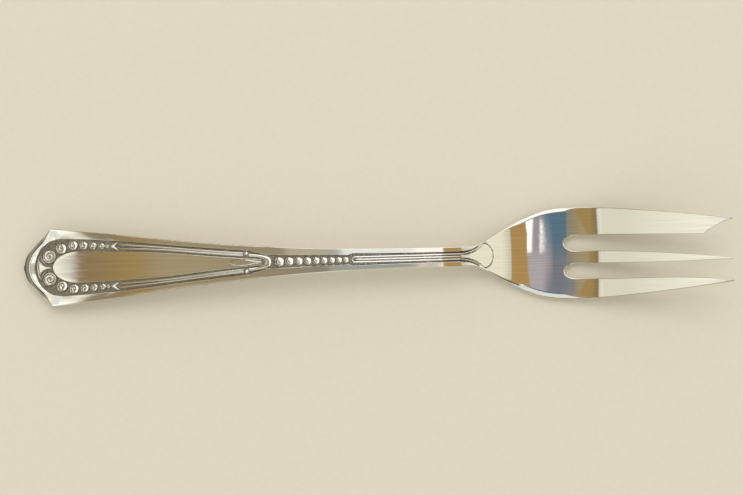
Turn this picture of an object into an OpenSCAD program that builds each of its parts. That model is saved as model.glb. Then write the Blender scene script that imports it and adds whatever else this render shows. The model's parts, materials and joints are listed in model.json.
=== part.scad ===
// Pastry fork: a struck handle with a beaded and scrolled border, an arched stem, a dished bowl and
// three tines, the one on the left wide and bevelled for cutting.
// The fork lies face up on z = 0, with +X from the handle end to the tines, +Y its left side and the
// origin under the middle of its length.

/* [Lengths] */
// From the tip of the pointed handle end to its shoulders
point_l = 5.9; // [5:0.1:7]
// From the shoulders to the narrowest place of the stem
taper_l = 86.1; // [75:0.1:98]
// From the narrowest place of the stem to the bowl
neck_l = 12; // [10:0.1:14]
// From the start of the bowl to the roots of the slots
bowl_l = 10.2; // [8.5:0.1:12]
// From the roots of the slots to the tips of the tines
tine_l = 33.8; // [29:0.1:40]

/* [Widths] */
// Width across the shoulders of the handle end
end_w = 16.3; // [15:0.1:19]
// Width of the stem at its narrowest place
stem_w = 4.1; // [3.8:0.05:5]
// Width across the bowl
bowl_w = 19.4; // [18:0.1:22]
// Width of a slot between two tines, beside its root
slot_w = 3.05; // [2.5:0.05:3.4]
// Width of the middle tine at its root
mid_tine_w = 2.65; // [2.2:0.05:3.2]
// Distance of the middle tine from the fork's axis, at its root
mid_tine_off = 0.85; // [0.6:0.05:1.1]
// Radius of the rounded nose of the handle end
nose_r = 5.7; // [5:0.1:6.5]

/* [Thicknesses] */
// Thickness at the handle end
end_t = 2.1; // [1.7:0.05:2.6]
// Thickness of the stem
stem_t = 2.9; // [2.4:0.05:3.5]
// Thickness of the bowl
bowl_t = 1.6; // [1.3:0.05:2]
// Thickness at the tine tips
tip_t = 0.8; // [0.6:0.05:1.1]
// Depth of the dish across the bowl
dish_h = 0.55; // [0.3:0.05:0.9]

/* [Bends] */
// Steepest rise of the handle, in degrees
arch_angle = 10; // [8:0.5:12]
// Steepest fall of the neck, in degrees
neck_angle = 27; // [22:0.5:31]
// Rise of the tines, in degrees
tine_angle = 20; // [16:0.5:24]

/* [Ornament] */
// Width of the raised border at the shoulders
rim_w = 2.05; // [1.7:0.05:2.3]
// Width of the raised border beside the stem's reeds
rim_thin_w = 1.15; // [0.9:0.05:1.2]
// Height of the relief above its ground
relief_h = 0.36; // [0.25:0.01:0.45]
// Width of the sunk channel that holds the rosettes
channel_w = 2.5; // [2.3:0.05:2.7]
// Width of the sunk channel that holds the reeds
reed_channel_w = 1.45; // [1.35:0.05:1.6]
// Width of one reed beside the panel
reed_w = 0.36; // [0.3:0.01:0.4]
// Diameter of a volute at the handle end
volute_d = 3.1; // [2.8:0.05:3.3]
// Diameter of the largest rosette
rosette_d = 2.4; // [2:0.05:2.5]
// Number of rosettes on each side
rosettes = 5; // [4:1:6]
// Diameter of the largest bead
bead_d = 2.15; // [1.8:0.05:2.3]
// Number of beads down the handle
beads = 9; // [7:1:10]
// Pitch of the fine reeds on the stem
stem_reed_pitch = 0.53; // [0.45:0.01:0.56]
// Number of fine reeds on the stem
stem_reeds_n = 3; // [2:1:3]

/* [Hidden] */
SILVER = [0.84, 0.83, 0.79];
BRIGHT = [0.93, 0.92, 0.88];
GROUND = [0.45, 0.42, 0.36];

// Stations along the fork, measured from the tip of the handle end
at_shoulder = point_l;
at_waist = at_shoulder + taper_l;
at_bowl = at_waist + neck_l;
at_root = at_bowl + bowl_l;
at_tip = at_root + tine_l;
mid_x = at_tip / 2;

function clamp(v, low, high) = min(max(v, low), high);
function mix(a, b, share) = a + (b - a) * share;
function smooth(share) = let (u = clamp(share, 0, 1)) u * u * (3 - 2 * u);
function soft_min(a, b, r) = (a + b - sqrt((a - b) * (a - b) + r * r)) / 2;
function steps(n) = [for (i = [0:n]) i / n];
function between(a, b, n) = [for (u = steps(n)) mix(a, b, u)];

// Outline. The pointed end is a round nose between two straight facets.
facet_angle = 43;
nose_flat_share = 1 / 6;
nose_cut = nose_r * (1 - cos(asin(nose_flat_share)));
nose_touch = nose_r * (1 - sin(facet_angle));
shoulder_r = end_t / 6;
taper_power_share = 1.3;
taper_fall_share = 2.88;
flare_power_share = 1.6;
flare_fall_share = 3.45;
close_power_share = 1.42;
tips_in_share = 0.32;
flare_from = mix(at_waist, at_bowl, 0.19);
widest = at_root + 0.095 * tine_l;

function nose_half(s) =
    let (along = s + nose_cut)
    along < nose_touch
        ? sqrt(nose_r * nose_r - (nose_r - along) * (nose_r - along))
        : nose_r * cos(facet_angle) + (along - nose_touch) * tan(facet_angle);
function taper_half(s) =
    let (u = clamp((s - at_shoulder) / taper_l, 0, 1))
    stem_w / 2 + (end_w - stem_w) / 2 * pow(1 - pow(u, taper_power_share), taper_fall_share);
function handle_half(s) = soft_min(nose_half(s), taper_half(s), shoulder_r);
function flare_half(s) =
    let (u = clamp((s - flare_from) / (widest - flare_from), 0, 1))
    stem_w / 2 + (bowl_w - stem_w) / 2 * (1 - pow(1 - pow(u, flare_power_share), flare_fall_share));
function close_half(s) =
    let (u = clamp((s - widest) / (at_tip - widest), 0, 1))
    bowl_w / 2 * (1 - tips_in_share * pow(u, close_power_share));
function half(s) = s < at_waist ? handle_half(s) : s < widest ? flare_half(s) : close_half(s);

// Side view: a station and the slope of the face a row, with an even bend in between
slopes = [
    [0, 0.96 * arch_angle],
    [at_shoulder, arch_angle],
    [mix(at_shoulder, at_waist, 0.094), 0.86 * arch_angle],
    [mix(at_shoulder, at_waist, 0.19), 0.73 * arch_angle],
    [mix(at_shoulder, at_waist, 0.315), 0.52 * arch_angle],
    [mix(at_shoulder, at_waist, 0.477), 0.26 * arch_angle],
    [mix(at_shoulder, at_waist, 0.628), 0.07 * arch_angle],
    [mix(at_shoulder, at_waist, 0.707), -0.015 * neck_angle],
    [mix(at_shoulder, at_waist, 0.861), -0.074 * neck_angle],
    [mix(at_shoulder, at_waist, 0.957), -0.133 * neck_angle],
    [mix(at_shoulder, at_waist, 0.98), -0.3 * neck_angle],
    [mix(at_waist, at_bowl, 0.058), -0.49 * neck_angle],
    [mix(at_waist, at_bowl, 0.44), -neck_angle],
    [mix(at_waist, at_bowl, 0.708), -0.76 * neck_angle],
    [mix(at_waist, at_bowl, 0.933), -0.4 * neck_angle],
    [mix(at_bowl, at_root, 0.226), -0.096 * neck_angle],
    [mix(at_bowl, at_root, 0.509), -0.037 * neck_angle],
    [mix(at_bowl, at_root, 0.735), -0.015 * neck_angle],
    [at_root, 0.11 * tine_angle],
    [mix(at_root, at_tip, 0.024), 0.21 * tine_angle],
    [mix(at_root, at_tip, 0.16), 0.69 * tine_angle],
    [mix(at_root, at_tip, 0.203), 0.84 * tine_angle],
    [mix(at_root, at_tip, 0.275), tine_angle],
    [at_tip, tine_angle]
];
function bend(a, b, s) =
    let (
        run = clamp(s - a[0], 0, b[0] - a[0]),
        turn = (b[1] - a[1]) / (b[0] - a[0])
    )
    run * tan(a[1] + turn * run / 2);
function climb(s, i = 0) =
    i > len(slopes) - 2 || slopes[i][0] > s ? 0 : bend(slopes[i], slopes[i + 1], s) + climb(s, i + 1);
// The fork lies on its handle end and on the heel of its bowl
at_heel = mix(at_bowl, at_root, 0.817);
lie_slope = (bowl_t - end_t - climb(at_heel)) / at_heel;
function face_z(s) = end_t + climb(s) + lie_slope * s;
function face_angle(s) = lookup(s, slopes) + atan(lie_slope);

// Thickness along the fork. Both places that it lies on are worn flat by the land's depth.
land_h = 0.12 * bowl_t;
thicknesses = [
    [0, end_t + 2 * land_h],
    [at_shoulder, end_t],
    [mix(at_shoulder, at_waist, 0.45), mix(end_t, stem_t, 0.3)],
    [mix(at_shoulder, at_waist, 0.8), stem_t],
    [at_waist, stem_t],
    [at_bowl, mix(bowl_t, stem_t, 0.12)],
    [at_heel, bowl_t + land_h / 2],
    [mix(at_root, at_tip, 0.256), bowl_t],
    [at_tip, tip_t]
];

// The dish raises the edges of the bowl and the tines above the middle
dish_from = mix(at_waist, at_bowl, 0.58);
dishes = [
    [dish_from, 0],
    [at_bowl, dish_h / 2],
    [at_root, dish_h],
    [mix(at_root, at_tip, 0.312), dish_h],
    [at_tip, dish_h / 4]
];
function dish_z(s, y) = lookup(s, dishes) * pow(y / half(s), 2);
function thick_at(s) = lookup(s, thicknesses);
function under_z(s, y, lift) = max(0, face_z(s) - thick_at(s) + dish_z(s, y) + lift);

// Ground of the struck relief: it lies below the face and runs out into it on the neck
function ground_z(s) = face_z(s) - relief_h * (1 - smooth((s - at_waist) / (dish_from - at_waist)));

// A closed solid between an upper and a lower sheet of points. Rows run along, and points across a
// row from right to left.
module slab(upper, under) {
    n = len(upper);
    m = len(upper[0]);
    points = [for (sheet = [upper, under]) for (row = sheet) for (p = row) [p[0] - mid_x, p[1], p[2]]];
    function up(i, j) = i * m + j;
    function low(i, j) = n * m + up(i, j);
    quads = [
        for (i = [0:n - 2]) for (j = [0:m - 2]) [up(i, j), up(i, j + 1), up(i + 1, j + 1), up(i + 1, j)],
        for (i = [0:n - 2]) for (j = [0:m - 2])
            [low(i, j), low(i + 1, j), low(i + 1, j + 1), low(i, j + 1)],
        for (i = [0:n - 2]) [up(i, 0), up(i + 1, 0), low(i + 1, 0), low(i, 0)],
        for (i = [0:n - 2]) [up(i + 1, m - 1), up(i, m - 1), low(i, m - 1), low(i + 1, m - 1)],
        for (j = [0:m - 2]) [up(0, j + 1), up(0, j), low(0, j), low(0, j + 1)],
        for (j = [0:m - 2]) [up(n - 1, j), up(n - 1, j + 1), low(n - 1, j + 1), low(n - 1, j)]
    ];
    faces = [for (q = quads) for (f = [[q[0], q[1], q[2]], [q[0], q[2], q[3]]]) f];
    polyhedron(points = points, faces = faces);
}

// Body of the fork, whose under side is rounded towards its edges
edge_share = 0.06;
body_shares = [-1, edge_share - 1, -0.7, -0.35, 0, 0.35, 0.7, 1 - edge_share, 1];
edge_lift_shares = [0.55, 0.28];
body_lift_shares = [0.55, 0.28, 0.06, 0, 0, 0, 0.06, 0.28, 0.55];
nose_lift_share = 0.3;
function nose_lift(s) = nose_lift_share * end_t * pow(clamp(1 - 2 * s / end_t, 0, 1), 2);
// The upper edge is square under the border and grows round along the neck
top_edge_share = 0.3;
function edge_drop(s) = top_edge_share * thick_at(s) * smooth((s - at_waist) / neck_l);
function body_upper(s) = [for (c = body_shares)
    [s, c * half(s), ground_z(s) + dish_z(s, c * half(s)) - (abs(c) == 1 ? edge_drop(s) : 0)]
];
function body_under(s) = [for (j = [0:len(body_shares) - 1])
    let (y = body_shares[j] * half(s))
    [s, y, under_z(s, y, max(thick_at(s) * body_lift_shares[j], nose_lift(s)))]
];
module body(stations) {
    slab([for (s = stations) body_upper(s)], [for (s = stations) body_under(s)]);
}

// Between its flanks, which carry the borders on, the neck is sunk as deep as the stem
neck_groove_w = 0.3 * stem_w / 2;
function neck_inner(s) = min(
    max(stem_w / 2 - rim_thin_w, tongue_half(min(s, tongue_wide)) + neck_groove_w),
    (1 - 1.7 * edge_share) * half(s)
);
function neck_upper(s) =
    let (
        inner = neck_inner(s),
        edge = (1 - edge_share) * half(s),
        flank = mix(inner, edge, 0.3)
    )
    [for (y = [-half(s), -edge, -flank, -inner, 0, inner, flank, edge, half(s)])
        let (drop = abs(y) == half(s) ? edge_drop(s) : 0)
        [s, y, (abs(y) > inner ? face_z(s) : ground_z(s)) + dish_z(s, y) - drop]
    ];

// Relief on the ground: rows of station, side and height. A base lifts it onto what carries it.
function lifted(rows, base, share) = [for (row = rows) [for (p = row)
    [p[0], p[1], ground_z(p[0]) + base + share * p[2]]
]];
function mirrored(rows) = [for (row = rows)
    [for (j = [len(row) - 1:-1:0]) [row[j][0], -row[j][1], row[j][2]]]
];
module relief(rows, right = false, base = 0) {
    side_rows = right ? mirrored(rows) : rows;
    slab(lifted(side_rows, base, 1), lifted(side_rows, base, 0));
}
function strip(stations, lows, highs, across, heights) = [for (i = [0:len(stations) - 1])
    [for (j = [0:len(across) - 1])
        [stations[i], mix(lows[i], highs[i], across[j]), heights[j]]
    ]
];
module seated_dome(s, y, r, h) {
    round_r = (r * r + h * h) / (2 * h);
    translate([s - mid_x, y, ground_z(s)])
        rotate([0, -face_angle(s), 0])
            intersection() {
                translate([0, 0, h - round_r]) sphere(r = round_r, $fn = 72);
                translate([-r, -r, 0]) cube([2 * r, 2 * r, h]);
            }
}

// Places of the ornament, from the handle end inwards
nose_rim_w = 1.22 * rim_w;
border_from = 1.36 * at_shoulder;
volute_r = volute_d / 2;
volute_s = nose_rim_w + 2 * volute_r;
cup_s = mix(at_shoulder, at_waist, 0.4815);
cup_l = 1.27 * stem_w;
bead_from = cup_s + cup_l + 0.12 * stem_w;

// Beads, each a little smaller than the last, nearly touching
bead_last_share = 0.64;
bead_pitch_share = 1.015;
function bead_r(k) = bead_d / 2 * mix(1, bead_last_share, pow(k / (beads - 1), 0.75));
function bead_s(k) =
    k == 0 ? bead_from + bead_r(0) : bead_s(k - 1) + bead_pitch_share * (bead_r(k - 1) + bead_r(k));
module bead_row() {
    color(BRIGHT)
        for (k = [0:beads - 1])
            seated_dome(bead_s(k), 0, bead_r(k), 0.85 * bead_r(k));
}

// The handle's plate runs to the end of the bead row, the stem from there to the neck
plate_end = bead_s(beads - 1) + 1.6 * bead_r(beads - 1);
module handle_plate() {
    color(GROUND)
        body(concat(
            [for (u = steps(6)) nose_touch * u * u],
            [for (u = [0.5, 0.8, 0.97, 1.05]) at_shoulder * u],
            [for (s = between(1.05 * at_shoulder, plate_end, 20)) if (s > 1.05 * at_shoulder) s]
        ));
}
module stem() {
    color(SILVER) body(between(plate_end, at_waist, 12));
}
module neck() {
    stations = between(at_waist, at_bowl, 14);
    color(SILVER) slab([for (s = stations) neck_upper(s)], [for (s = stations) body_under(s)]);
}
module bowl() {
    color(BRIGHT) body(between(at_bowl, at_root, 12));
}

// Tines. Each slot starts as a half oval, from which the edges of the tines beside it run out.
root_l = 0.88 * slot_w;
left_slot_y = mid_tine_w / 2 + 0.556 * slot_w - mid_tine_off;
right_slot_y = -mid_tine_w / 2 - 0.533 * slot_w - mid_tine_off;
mid_drift_share = 0.36;
function root_share(s) = sqrt(1 - pow(1 - clamp((s - at_root) / root_l, 0, 1), 2));
function along_tine(s) = clamp((s - at_root - root_l) / (tine_l - root_l), 0, 1);
function slot_half(s) = slot_w / 2 * root_share(s) * mix(1, 1.13, min(1, 5 * along_tine(s)));
function mid_line(s) = -mid_tine_off - mid_drift_share * mid_tine_w * pow(along_tine(s), 1.5);
function mid_half(s) = mid_tine_w / 2 * mix(1, 0.13, pow(along_tine(s), 2.2));
function middle_high(s) = mix(left_slot_y, mid_line(s) + mid_half(s), root_share(s));
function middle_low(s) = mix(right_slot_y, mid_line(s) - mid_half(s), root_share(s));
function outer_high(s) =
    right_slot_y - slot_half(s) + slot_w * (0.04 * along_tine(s) - 0.42 * pow(along_tine(s), 8));

// The cutting tine ends in a slant whose point is on its outer edge
slant_l = 0.169 * tine_l;
slant_bend_share = 1.22;
point_w = 0.12 * mid_tine_w;
function cutting_low(s) =
    let (
        u = clamp((s - at_tip + slant_l) / slant_l, 0, 1),
        straight = left_slot_y + slot_half(s) - 0.23 * slot_w * along_tine(s)
    )
    mix(straight, half(s) - point_w, 1 - pow(1 - u, slant_bend_share));

// A tine is flat on top. Its outer edge is rounded below like the bowl's, and an edge beside a slot
// grows round as it leaves the root.
tine_middle_shares = [0.3, 0.7];
slot_lift_shares = [0.45, 0.2];
top_round_share = 0.12;
function tine_row(s, low, high, outside) =
    let (
        inset = min(edge_share * half(s), (high - low) / 5),
        low_lifts = outside < 0 ? edge_lift_shares : slot_lift_shares * root_share(s),
        high_lifts = outside > 0 ? edge_lift_shares : slot_lift_shares * root_share(s),
        low_drop = outside < 0 ? top_edge_share : top_round_share * root_share(s),
        high_drop = outside > 0 ? top_edge_share : top_round_share * root_share(s)
    )
    [
        [low, low_lifts[0], low_drop],
        [low + inset, low_lifts[1], 0],
        [mix(low + inset, high - inset, tine_middle_shares[0]), 0, 0],
        [mix(low + inset, high - inset, tine_middle_shares[1]), 0, 0],
        [high - inset, high_lifts[1], 0],
        [high, high_lifts[0], high_drop]
    ];
module tine(stations, lows, highs, outside = 0) {
    n = len(stations) - 1;
    slab(
        [for (i = [0:n]) let (s = stations[i]) [for (p = tine_row(s, lows[i], highs[i], outside))
            [s, p[0], face_z(s) + dish_z(s, p[0]) - thick_at(s) * p[2]]
        ]],
        [for (i = [0:n]) let (s = stations[i]) [for (p = tine_row(s, lows[i], highs[i], outside))
            [s, p[0], under_z(s, p[0], thick_at(s) * p[1])]
        ]]
    );
}
root_stations = [for (u = steps(7)) at_root + root_l * u * u];
tine_stations = concat(
    root_stations,
    [for (s = between(widest, at_tip, 12)) if (s > at_root + root_l) s]
);
cutting_stations = concat(
    [for (s = tine_stations) if (s < at_tip - slant_l) s],
    between(at_tip - slant_l, at_tip, 5)
);
module cutting_tine() {
    color(BRIGHT)
        tine(
            cutting_stations,
            [for (s = cutting_stations) cutting_low(s)],
            [for (s = cutting_stations) half(s)],
            1
        );
}
module middle_tine() {
    color(BRIGHT)
        tine(
            tine_stations,
            [for (s = tine_stations) middle_low(s)],
            [for (s = tine_stations) middle_high(s)]
        );
}
module outer_tine() {
    color(BRIGHT)
        tine(
            tine_stations,
            [for (s = tine_stations) -half(s)],
            [for (s = tine_stations) max(outer_high(s), point_w - half(s))],
            -1
        );
}

// Raised border: a bevel outside, a crest, and a slower fall to the ground inside
border_shares = [0, 0.18, 0.45, 0.58, 1];
border_heights = relief_h * [0.1, 0.65, 0.95, 1, 0.3];
rim_thins_share = 6;
function rim_at(s) =
    mix(rim_thin_w, rim_w, pow(clamp((at_waist - s) / (at_waist - border_from), 0, 1), rim_thins_share));
inner_half = handle_half(border_from) - rim_w;
inner_l = border_from - nose_rim_w;
volute_y = 0.403 * inner_half;
function inner_at(s) = inner_half * sqrt(1 - pow(max(0, border_from - s) / inner_l, 2));
turn_shares = [0, 0.07, 0.14, 0.24, 0.34, 0.44, 0.56, 0.68, 0.8, 0.9, 1];
outline_stations = concat(
    [0],
    [for (u = steps(4)) nose_touch * u * u],
    [for (u = [0.5, 0.76, 1]) at_shoulder * u],
    [mix(at_shoulder, border_from, 0.45), border_from]
);
end_border_rows = [for (i = [1 - len(turn_shares):len(turn_shares) - 1])
    let (
        side = i < 0 ? -1 : 1,
        turn = 90 * turn_shares[abs(i)],
        out_s = outline_stations[abs(i)],
        out_y = i == 0 ? 0 : handle_half(out_s)
    )
    [for (j = [0:len(border_shares) - 1])
        [
            mix(border_from - inner_l * cos(turn), out_s, border_shares[j]),
            side * mix(inner_half * sin(turn), out_y, border_shares[j]),
            border_heights[j]
        ]
    ]
];
module end_border() {
    color(BRIGHT) relief(end_border_rows);
}
border_stations = between(border_from, at_waist, 26);
module side_border(right) {
    relief(strip(
        border_stations,
        [for (s = border_stations) handle_half(s) - rim_at(s)],
        [for (s = border_stations) handle_half(s)],
        border_shares,
        border_heights
    ), right);
}
module left_border() {
    color(BRIGHT) side_border(false);
}
module right_border() {
    color(BRIGHT) side_border(true);
}

// Plain panel: a rounded point towards the handle end and a long taper whose foot lies in the cup
panel_from = volute_s + 0.47 * volute_r;
panel_round_l = 3.65 * volute_r;
panel_to = cup_s + 0.6 * cup_l;
panel_shares = [0, 0.07, 0.93, 1];
panel_top = 0.85 * relief_h;
panel_heights = [0.3 * panel_top, panel_top, panel_top, 0.3 * panel_top];
function channel_at(s) = mix(channel_w, reed_channel_w, smooth((s - border_from) / (3.2 * border_from)));
function channel_mid(s) = handle_half(s) - rim_at(s) - channel_at(s) / 2;
cup_half = handle_half(cup_s) - rim_at(cup_s) - 0.36 * reed_channel_w;
cup_w = 0.4 * cup_half;
cup_gap = 0.08 * cup_half;
function cup_clear(s) =
    let (u = clamp((s - cup_s) / (cup_l - cup_w), 0, 1))
    (cup_half - cup_w) * sqrt(1 - u * u) - cup_gap;
function panel_half(s) =
    let (
        u = clamp((panel_from + panel_round_l - s) / panel_round_l, 0, 1),
        side = handle_half(s) - rim_at(s) - channel_at(s)
    )
    max(0.05 * channel_w, s > cup_s ? min(side, cup_clear(s)) : side * sqrt(1 - u * u));
panel_stations = concat(
    [for (u = steps(8)) panel_from + panel_round_l * u * u],
    [for (s = between(panel_from + panel_round_l, panel_to, 16)) if (s > panel_from + panel_round_l) s]
);
module panel() {
    color(SILVER)
        relief(strip(
            panel_stations,
            [for (s = panel_stations) -panel_half(s)],
            [for (s = panel_stations) panel_half(s)],
            panel_shares,
            panel_heights
        ));
}

// Scrolls: a ridge that winds in from its outer radius to the given share of it
volute_parts = 26;
rosette_parts = 15;
function scroll(s, y, r, turns, ridge_share, end_share, parts) = [for (u = steps(parts))
    let (
        turn = 110 + 360 * turns * u,
        mid_r = r * mix(1 - ridge_share / 2, end_share, u),
        ridge_w = r * ridge_share * mix(1, 0.6, u)
    )
    [for (v = [-0.5, 0, 0.5])
        [
            s + (mid_r - ridge_w * v) * cos(turn),
            y + (mid_r - ridge_w * v) * sin(turn),
            relief_h * (v == 0 ? 0.9 : 0.15)
        ]
    ]
];
eye_h = 0.8 * relief_h;
module volute(right) {
    relief(scroll(volute_s, volute_y, volute_r, 1.6, 0.23, 0.36, volute_parts), right);
    seated_dome(volute_s, right ? -volute_y : volute_y, 0.2 * volute_r, eye_h);
}
module left_volute() {
    color(BRIGHT) volute(false);
}
module right_volute() {
    color(BRIGHT) volute(true);
}

// Rosettes: scrolls that grow smaller along the channel between the border and the panel
rosette_shrink_share = 0.89;
function rosette_r(k) = rosette_d / 2 * pow(rosette_shrink_share, k);
function rosette_s(k) =
    k == 0
        ? volute_s + 0.95 * (volute_r + rosette_r(0))
        : rosette_s(k - 1) + 1.13 * (rosette_r(k - 1) + rosette_r(k));
function rosette_y(k) =
    let (s = rosette_s(k))
    k == 0 ? mix(panel_half(s), inner_at(s), 0.42) : channel_mid(s);
module rosette_row(right) {
    for (k = [0:rosettes - 1]) {
        r = rosette_r(k);
        relief(scroll(rosette_s(k), rosette_y(k), r, 1, 0.3, 0.56, rosette_parts), right);
        seated_dome(rosette_s(k), (right ? -1 : 1) * rosette_y(k), 0.26 * r, eye_h);
    }
}
module left_rosettes() {
    color(BRIGHT) rosette_row(false);
}
module right_rosettes() {
    color(BRIGHT) rosette_row(true);
}

// Palmette between the volutes: a three-pointed petal with hollow sides and a crescent behind it
petal_from = nose_rim_w + 0.55 * volute_r;
petal_to = volute_s + 0.2 * volute_r;
crescent_s = nose_rim_w + 0.28 * volute_r;
crescent_half = 1.55 * volute_r;
crescent_bow = 0.42 * volute_r;
ridge_shares = [0, 0.5, 1];
ridge_heights = relief_h * [0.12, 0.6, 0.12];
module palmette() {
    petal_stations = between(petal_from, petal_to, 8);
    petal_halves = [for (u = steps(8)) volute_r * (0.06 + 0.98 * pow(1 - u, 2.4))];
    color(BRIGHT) {
        relief(strip(petal_stations, -petal_halves, petal_halves, ridge_shares, ridge_heights));
        relief([for (u = steps(8))
            let (
                v = 2 * u - 1,
                w = volute_r * mix(0.04, 0.14, 1 - v * v)
            )
            [for (j = [0:2])
                [
                    crescent_s + crescent_bow * v * v - w * (2 * ridge_shares[j] - 1),
                    crescent_half * v,
                    ridge_heights[j]
                ]
            ]
        ]);
    }
}

// Arrow heads that start the reeds, each behind a lozenge
chevron_s = rosette_s(rosettes - 1) + 2.4 * rosette_r(rosettes - 1);
chevron_half = 0.29 * channel_w;
chevron_l = 0.5 * channel_w;
chevron_w = 0.2 * channel_w;
module chevron(right) {
    y = channel_mid(chevron_s);
    lozenge_l = 0.35 * channel_w;
    relief([for (v = [-1, -0.5, 0, 0.5, 1])
        [for (j = [0:2])
            [
                chevron_s + chevron_l * pow(abs(v), 0.8) + chevron_w * (1 - ridge_shares[j]),
                y + chevron_half * v,
                ridge_heights[j]
            ]
        ]
    ], right);
    relief([for (v = [-1, -0.5, 0, 0.5, 1])
        [for (c = [-1, 0, 1])
            [
                chevron_s - lozenge_l + 0.7 * lozenge_l * v,
                y + 0.6 * chevron_half * (1.1 - abs(v)) * c,
                c == 0 ? ridge_heights[1] : ridge_heights[0]
            ]
        ]
    ], right);
}
module left_chevron() {
    color(BRIGHT) chevron(false);
}
module right_chevron() {
    color(BRIGHT) chevron(true);
}

// Two reeds between the panel and the border, from the arrow head to the curl of the cup. They lie
// close side by side, and open a little where the channel widens towards the arrow head.
curl_r = 0.34 * reed_channel_w;
reed_shares = [0, 0.28, 0.72, 1];
reed_heights = relief_h * [0.15, 0.75, 0.75, 0.15];
reed_open_share = 0.6;
reed_stations = between(chevron_s + chevron_l + 1.3 * chevron_w, cup_s - 1.3 * curl_r, 14);
function reed_gap(s) = reed_w / 9 + reed_open_share * (channel_at(s) - reed_channel_w);
module reed_pair(right) {
    for (side = [-1, 1]) {
        lows = [for (s = reed_stations)
            panel_half(s) + (channel_at(s) + side * (reed_w + reed_gap(s)) - reed_w) / 2
        ];
        highs = [for (low = lows) low + reed_w];
        relief(strip(reed_stations, lows, highs, reed_shares, reed_heights), right);
    }
}
module left_reeds() {
    color(SILVER) reed_pair(false);
}
module right_reeds() {
    color(SILVER) reed_pair(true);
}

// Bud on the panel's foot, and the cup that holds it
bud_from = mix(panel_from, panel_to, 0.845);
bud_stations = between(bud_from, panel_to, 10);
bud_heights = relief_h * [0.08, 0.4, 0.08];
module leaf_bud() {
    halves = [for (u = steps(10))
        0.8 * panel_half(mix(bud_from, panel_to, u)) * (0.06 + 0.94 * sin(165 * pow(u, 0.7)))
    ];
    color(BRIGHT)
        relief(strip(bud_stations, -halves, halves, ridge_shares, bud_heights), base = panel_top);
}
module cup() {
    color(BRIGHT)
        relief([for (u = steps(20))
            let (turn = mix(-84, 84, u))
            [for (j = [0:2])
                let (in = cup_w * ridge_shares[j])
                [
                    cup_s + (cup_l - in) * cos(turn),
                    (cup_half - in) * sin(turn),
                    j == 1 ? 0.9 * relief_h : ridge_heights[0]
                ]
            ]
        ]);
}
module left_curl() {
    color(BRIGHT) seated_dome(cup_s, cup_half, curl_r, eye_h);
}
module right_curl() {
    color(BRIGHT) seated_dome(cup_s, -cup_half, curl_r, eye_h);
}

// Fine reeds down the stem, rounded off where they start behind the last bead
stem_reed_w = 0.82 * stem_reed_pitch;
stem_reed_from = plate_end + stem_reed_pitch / 2;
stem_reed_stations = concat([stem_reed_from], between(stem_reed_from + stem_reed_pitch, at_waist, 12));
module stem_reeds() {
    color(SILVER)
        for (k = [0:stem_reeds_n - 1]) {
            y = (k - (stem_reeds_n - 1) / 2) * stem_reed_pitch;
            halves = [for (i = [0:len(stem_reed_stations) - 1]) stem_reed_w / (i == 0 ? 5 : 2)];
            relief(strip(
                stem_reed_stations,
                [for (h = halves) y - h],
                [for (h = halves) y + h],
                ridge_shares,
                ridge_heights
            ));
        }
}

// Tongue on the neck: it swells like a shield and ends in a round front
tongue_from = at_waist + 0.03 * neck_l;
tongue_wide = mix(at_waist, at_bowl, 0.425);
tongue_to = mix(at_waist, at_bowl, 0.58);
tongue_slim = 0.18 * stem_w / 2;
tongue_full = 1.22 * stem_w / 2;
function tongue_half(s) =
    s < tongue_wide
        ? let (u = clamp((s - tongue_from) / (tongue_wide - tongue_from), 0, 1))
            mix(tongue_slim, tongue_full, pow(u, 2.5))
        : tongue_full * sqrt(1.01 - pow((s - tongue_wide) / (tongue_to - tongue_wide), 2));
tongue_stations = concat(
    between(tongue_from, tongue_wide, 9),
    [for (u = steps(6)) if (u > 0) mix(tongue_to, tongue_wide, (1 - u) * (1 - u))]
);
tongue_proud = 0.3 * relief_h;
module neck_tongue() {
    across = [-1, -0.86, 0, 0.86, 1];
    color(BRIGHT)
        slab(
            [for (s = tongue_stations) [for (c = across)
                [s, c * tongue_half(s), face_z(s) + (abs(c) == 1 ? 0.1 : 1) * tongue_proud]
            ]],
            [for (s = tongue_stations) [for (c = across) [s, c * tongue_half(s), ground_z(s)]]]
        );
}

// Reeds that carry the stem's outer reeds on beside the tongue
neck_reed_w = 0.7 * stem_reed_pitch;
neck_reed_stations = between(at_waist, mix(at_waist, at_bowl, 0.34), 9);
neck_reed_shares = [0, 0.5, 1];
module neck_reed(right) {
    stem_reed_y = (stem_reeds_n - 1) / 2 * stem_reed_pitch;
    lows = [for (s = neck_reed_stations)
        let (
            u = (s - at_waist) / (neck_reed_stations[9] - at_waist),
            beside = min(tongue_half(s) + 0.25 * stem_reed_pitch, half(s) - 1.3 * neck_reed_w)
        )
        mix(stem_reed_y - neck_reed_w / 2, beside, smooth(2 * u))
    ];
    relief(strip(
        neck_reed_stations,
        lows,
        [for (low = lows) low + neck_reed_w],
        neck_reed_shares,
        ridge_heights
    ), right);
}
module left_neck_reed() {
    color(SILVER) neck_reed(false);
}
module right_neck_reed() {
    color(SILVER) neck_reed(true);
}

handle_plate();
stem();
neck();
bowl();
cutting_tine();
middle_tine();
outer_tine();
end_border();
left_border();
right_border();
panel();
left_reeds();
right_reeds();
left_chevron();
right_chevron();
left_rosettes();
right_rosettes();
left_volute();
right_volute();
palmette();
leaf_bud();
cup();
left_curl();
right_curl();
bead_row();
stem_reeds();
neck_tongue();
left_neck_reed();
right_neck_reed();
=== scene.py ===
"""Silver pastry fork: its struck and polished surfaces, their finishes and the room that they mirror."""
import json
import math

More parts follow.
